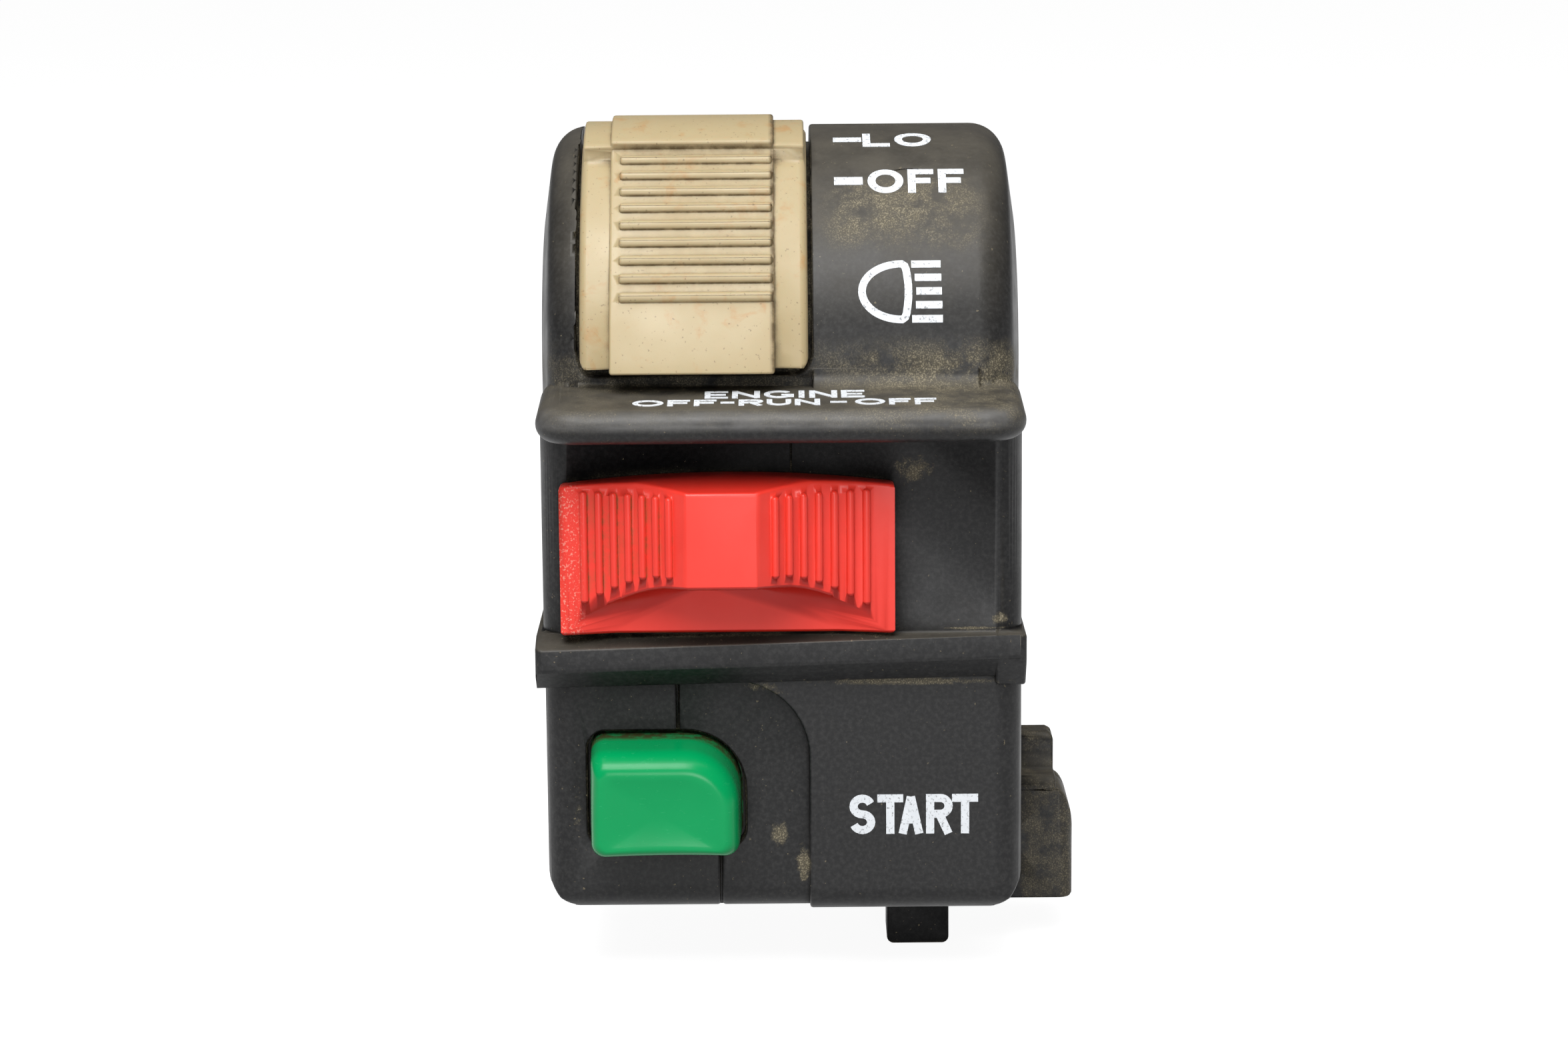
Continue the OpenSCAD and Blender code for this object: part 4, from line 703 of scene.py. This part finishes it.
def add_floor():
    lowest = min(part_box(n)[0].z for n in nodes)
    mesh = bpy.data.meshes.new("floor")
    half = FLOOR_HALF
    corners = [(-half, -half, 0), (half, -half, 0), (half, half, 0), (-half, half, 0)]
    mesh.from_pydata(corners, [], [(0, 1, 2, 3)])
    floor = bpy.data.objects.new("floor", mesh)
    floor.location.z = lowest - FLOOR_GAP
    scene.collection.objects.link(floor)
    mesh.materials.append(floor_material())


def add_sky():
    world = bpy.data.worlds.new("studio")
    scene.world = world
    world.use_nodes = True
    background = world.node_tree.nodes["Background"]
    background.inputs["Color"].default_value = SKY_COLOUR
    background.inputs["Strength"].default_value = SKY_STRENGTH


def add_lamp(name, place, size, power):
    data = bpy.data.lights.new(name, "AREA")
    data.shape = "SQUARE"
    data.size = size
    data.energy = power
    lamp = bpy.data.objects.new(name, data)
    scene.collection.objects.link(lamp)
    lamp.location = place
    lamp.rotation_mode = "QUATERNION"
    lamp.rotation_quaternion = (LAMP_AIM - lamp.location).to_track_quat("-Z", "Y")


# Lettering: plain strokes, laid on the surface that carries them
PRINT_LIFT = 0.02
PRINT_SINK = 0.05
STROKE_LIFT = 0.004
STROKE_LEVELS = 6
STEP = 0.3
MITRE_LEAST = 0.5
SAME_POINT = 1e-6
LETTER_GAP = 0.13
LETTER_WIDTHS = {
    "O": 1.05, "F": 0.76, "L": 0.78, "R": 0.92, "U": 0.92, "N": 0.95, "E": 0.80, "G": 1.02,
    "I": 0.26, "S": 0.90, "T": 0.90, "A": 1.00,
}


def letter(sign, w, cap, s):
    """Centre lines of one letter, in a box w wide and cap high, for strokes s wide."""
    h = s / 2
    right, top, mid = w - h, cap - h, cap / 2
    if sign == "O":
        return [arc((w / 2, mid), w / 2 - h, mid - h, 0, 360, 40)]
    if sign == "F":
        return [[(w, top), (h, top), (h, 0)], [(s, mid), (0.88 * w, mid)]]
    if sign == "E":
        return [[(w, top), (h, top), (h, h), (w, h)], [(s, mid), (0.90 * w, mid)]]
    if sign == "L":
        return [[(h, cap), (h, h), (w, h)]]
    if sign == "I":
        return [[(w / 2, cap), (w / 2, 0)]]
    if sign == "T":
        return [[(0, top), (w, top)], [(w / 2, cap - s), (w / 2, 0)]]
    if sign == "N":
        return [[(h, cap), (h, 0)], [(right, cap), (right, 0)], [(h, cap - 0.4 * s), (right, 0.4 * s)]]
    if sign == "U":
        low = 0.42 * cap
        return [[(h, cap), *arc((w / 2, low), w / 2 - h, low - h, 180, 360), (right, cap)]]
    if sign == "A":
        peak = (w / 2, cap - 0.3 * s)
        low_bar = [(0.24 * w, 0.36 * cap), (0.76 * w, 0.36 * cap)]
        high_bar = [(0.36 * w, 0.54 * cap), (0.64 * w, 0.54 * cap)]
        return [[(h, 0), peak], [(right, 0), peak], low_bar, high_bar]
    if sign == "R":
        waist = 0.50 * cap
        round_r = (top - waist) / 2
        bowl = arc((right - round_r, waist + round_r), round_r, round_r, 90, -90)
        return [[(h, cap), (h, 0)], [(h, top), *bowl, (h, waist)], [(0.50 * w, waist), (right, 0)]]
    if sign == "G":
        ring = arc((w / 2, mid), w / 2 - h, mid - h, 40, 330, 30)
        return [ring, [(0.58 * w, 0.45 * cap), (right, 0.45 * cap), (right, 0.12 * cap)]]
    if sign == "S":
        bend = (cap - s) / 4
        high = arc((w / 2, top - bend), w / 2 - h, bend, 20, 270)
        low = arc((w / 2, h + bend), w / 2 - h, bend, 90, -160)
        return [high + low[1:]]
    raise ValueError(sign)


def word(text, left, right, low, cap, stroke):
    """Centre lines of a word set between left and right, standing on low."""
    widths = [LETTER_WIDTHS[c] for c in text]
    total = sum(widths) + LETTER_GAP * (len(text) - 1)
    scale = (right - left) / total
    lines = []
    x = left
    for sign, width in zip(text, widths):
        for line in letter(sign, width * scale, cap, stroke):
            lines.append(([(x + u, low + v) for u, v in line], stroke))
        x += (width + LETTER_GAP) * scale
    return lines


def dash(left, right, middle, stroke):
    return [([(left, middle), (right, middle)], stroke)]


def fine(line):
    """The same line with points no more than STEP apart."""
    points = [line[0]]
    for a, b in zip(line, line[1:]):
        count = max(1, math.ceil(math.dist(a, b) / STEP))
        for i in range(1, count + 1):
            points.append((a[0] + (b[0] - a[0]) * i / count, a[1] + (b[1] - a[1]) * i / count))
    return points


def sides(points, stroke):
    """Left and right edges of a stroke that follows the points, with mitred corners."""
    closed = math.dist(points[0], points[-1]) < SAME_POINT
    pairs = []
    for i, here in enumerate(points):
        before = points[i - 1] if i else (points[-2] if closed else None)
        after = points[i + 1] if i + 1 < len(points) else (points[1] if closed else None)
        ways = []
        if before:
            ways.append(Vector(here) - Vector(before))
        if after:
            ways.append(Vector(after) - Vector(here))
        ways = [w.normalized() for w in ways]
        way = sum(ways, Vector((0, 0))).normalized()
        reach = stroke / 2 / max(MITRE_LEAST, way.dot(ways[0]))
        normal = Vector((-way.y, way.x)) * reach
        pairs.append((Vector(here) + normal, Vector(here) - normal))
    return pairs, closed


def add_print(name, strokes, surface, body, material):
    """One printed label: surface(u, v, lift) gives the place of a point of it in millimetres."""
    shape = bmesh.new()
    for order, (line, stroke) in enumerate(strokes):
        lift_here = PRINT_LIFT + STROKE_LIFT * (order % STROKE_LEVELS)
        pairs, closed = sides(fine(line), stroke)
        rings = []
        for left, right in pairs[:-1] if closed else pairs:
            corners = [(left, lift_here), (right, lift_here), (right, -PRINT_SINK), (left, -PRINT_SINK)]
            rings.append([shape.verts.new(Vector(surface(p.x, p.y, lift)) * MM) for p, lift in corners])
        joins = list(zip(rings, rings[1:]))
        if closed:
            joins.append((rings[-1], rings[0]))
        else:
            shape.faces.new(rings[0])
            shape.faces.new(rings[-1][::-1])
        for a, b in joins:
            for i in range(4):
                j = (i + 1) % 4
                shape.faces.new((a[j], a[i], b[i], b[j]))
    bmesh.ops.recalc_face_normals(shape, faces=shape.faces)
    mesh = bpy.data.meshes.new(name)
    shape.to_mesh(mesh)
    shape.free()
    new_piece(name, mesh, body, material)


def on_barrel(u, v, lift):
    """v is measured round the barrel, up from the level of the bar on the rider's side."""
    r = BARREL_R + lift
    return (u, -r * math.cos(v / BARREL_R), r * math.sin(v / BARREL_R))


def on_visor(u, v, lift):
    """v runs up the visor's sloping top, towards the barrel, and is 0 on the barrel's front."""
    y = -BARREL_R + v * math.cos(VISOR_SLOPE) - lift * math.sin(VISOR_SLOPE)
    z = VISOR_ROOT_Z + v * math.sin(VISOR_SLOPE) + lift * math.cos(VISOR_SLOPE)
    return (u, y, z)


def on_label_panel(u, v, lift):
    return (u, LABEL_PANEL_Y - lift, v)


def height_round_barrel(degrees):
    return math.radians(degrees) * BARREL_R


# Headlamp sign: half of its front edge, from the middle up, and its beams from the lowest up
LAMP_FRONT = ((4.145, 0.0), (4.13, 0.6), (4.06, 1.25), (3.97, 1.85), (3.86, 2.18), (3.6, 2.37))
LAMP_BEAMS = ((4.42, 6.95), (4.74, 6.93), (4.79, 6.90), (4.67, 6.86), (4.40, 6.83))
LAMP_STROKE = 0.63
LAMP_PITCH = 1.165
LAMP_LEFT = 6.45
LAMP_DEGREES = 22.6

# Words on the barrel: (name, text, left, right, degrees up round the bar), with a dash before each
BARREL_WORDS = (("label_low", "LO", 7.1, 12.9, 73.9), ("label_off", "OFF", 7.4, 15.45, 54.5))
BARREL_CAP = 2.93
BARREL_STROKE = 0.66
BARREL_DASH = (4.6, 7.0)
BARREL_DASH_STROKE = 0.95

# Rows on the visor, and the word beside the starter button: (text, left, right)
ENGINE_WORD = ("ENGINE", -6.2, 6.85)
ENGINE_LOW = -4.1
ENGINE_CAP = 2.35
ENGINE_STROKE = 0.48
STOP_ROW = (
    ("OFF", -12.03, -5.2),
    ("-", -4.87, -3.75),
    ("RUN", -3.41, 3.2),
    ("-", 4.02, 5.37),
    ("OFF", 6.02, 12.64),
)
STOP_LOW = -6.5
STOP_CAP = 1.95
STOP_STROKE = 0.46
STOP_DASH_STROKE = 0.5
START_PLACES = (
    ("S", 5.48, 7.64),
    ("T", 7.82, 9.99),
    ("A", 9.59, 11.68),
    ("R", 11.90, 14.14),
    ("T", 14.08, 16.27),
)
START_LOW = -38.15
START_CAP = 3.42
START_STROKE = 0.69


def lamp_symbol(left, middle):
    """The common sign for a headlamp: a bowl with five beams."""
    end_x, half_h = LAMP_FRONT[-1]
    bowl = arc((end_x, 0), end_x - LAMP_STROKE / 2, half_h, 90, 270, 28)
    front = [(x, -z) for x, z in LAMP_FRONT[::-1]] + list(LAMP_FRONT[1:])
    line = [(left + x, middle + z) for x, z in bowl + front[1:]]
    strokes = [(line, LAMP_STROKE)]
    for i, (start, end) in enumerate(LAMP_BEAMS):
        height = middle + (i - 2) * LAMP_PITCH
        strokes += dash(left + start, left + end, height, LAMP_STROKE)
    return strokes


def add_lettering(material):
    for name, text, left, right, degrees in BARREL_WORDS:
        middle = height_round_barrel(degrees)
        strokes = word(text, left, right, middle - BARREL_CAP / 2, BARREL_CAP, BARREL_STROKE)
        strokes += dash(*BARREL_DASH, middle, BARREL_DASH_STROKE)
        add_print(name, strokes, on_barrel, "case", material)
    lamp = lamp_symbol(LAMP_LEFT, height_round_barrel(LAMP_DEGREES))
    add_print("label_lamp", lamp, on_barrel, "case", material)
    engine = word(*ENGINE_WORD, ENGINE_LOW, ENGINE_CAP, ENGINE_STROKE)
    add_print("label_engine", engine, on_visor, "case", material)
    stop = []
    for text, left, right in STOP_ROW:
        if text == "-":
            stop += dash(left, right, STOP_LOW + STOP_CAP / 2, STOP_DASH_STROKE)
        else:
            stop += word(text, left, right, STOP_LOW, STOP_CAP, STOP_STROKE)
    add_print("label_stop", stop, on_visor, "case", material)
    start = []
    for sign, left, right in START_PLACES:
        start += word(sign, left, right, START_LOW, START_CAP, START_STROKE)
    add_print("label_start", start, on_label_panel, "case", material)


scene.view_settings.view_transform = "Standard"
add_camera()
add_floor()
add_sky()
for lamp in LAMPS:
    add_lamp(*lamp)
looks = make_looks()
dress_nodes(looks)
for moulding, edge_width in EDGE_WIDTHS.items():
    add_rounded_copy(moulding, edge_width, looks)
add_starter_cap(looks)
add_start_spring(looks)
add_lettering(looks["print"])
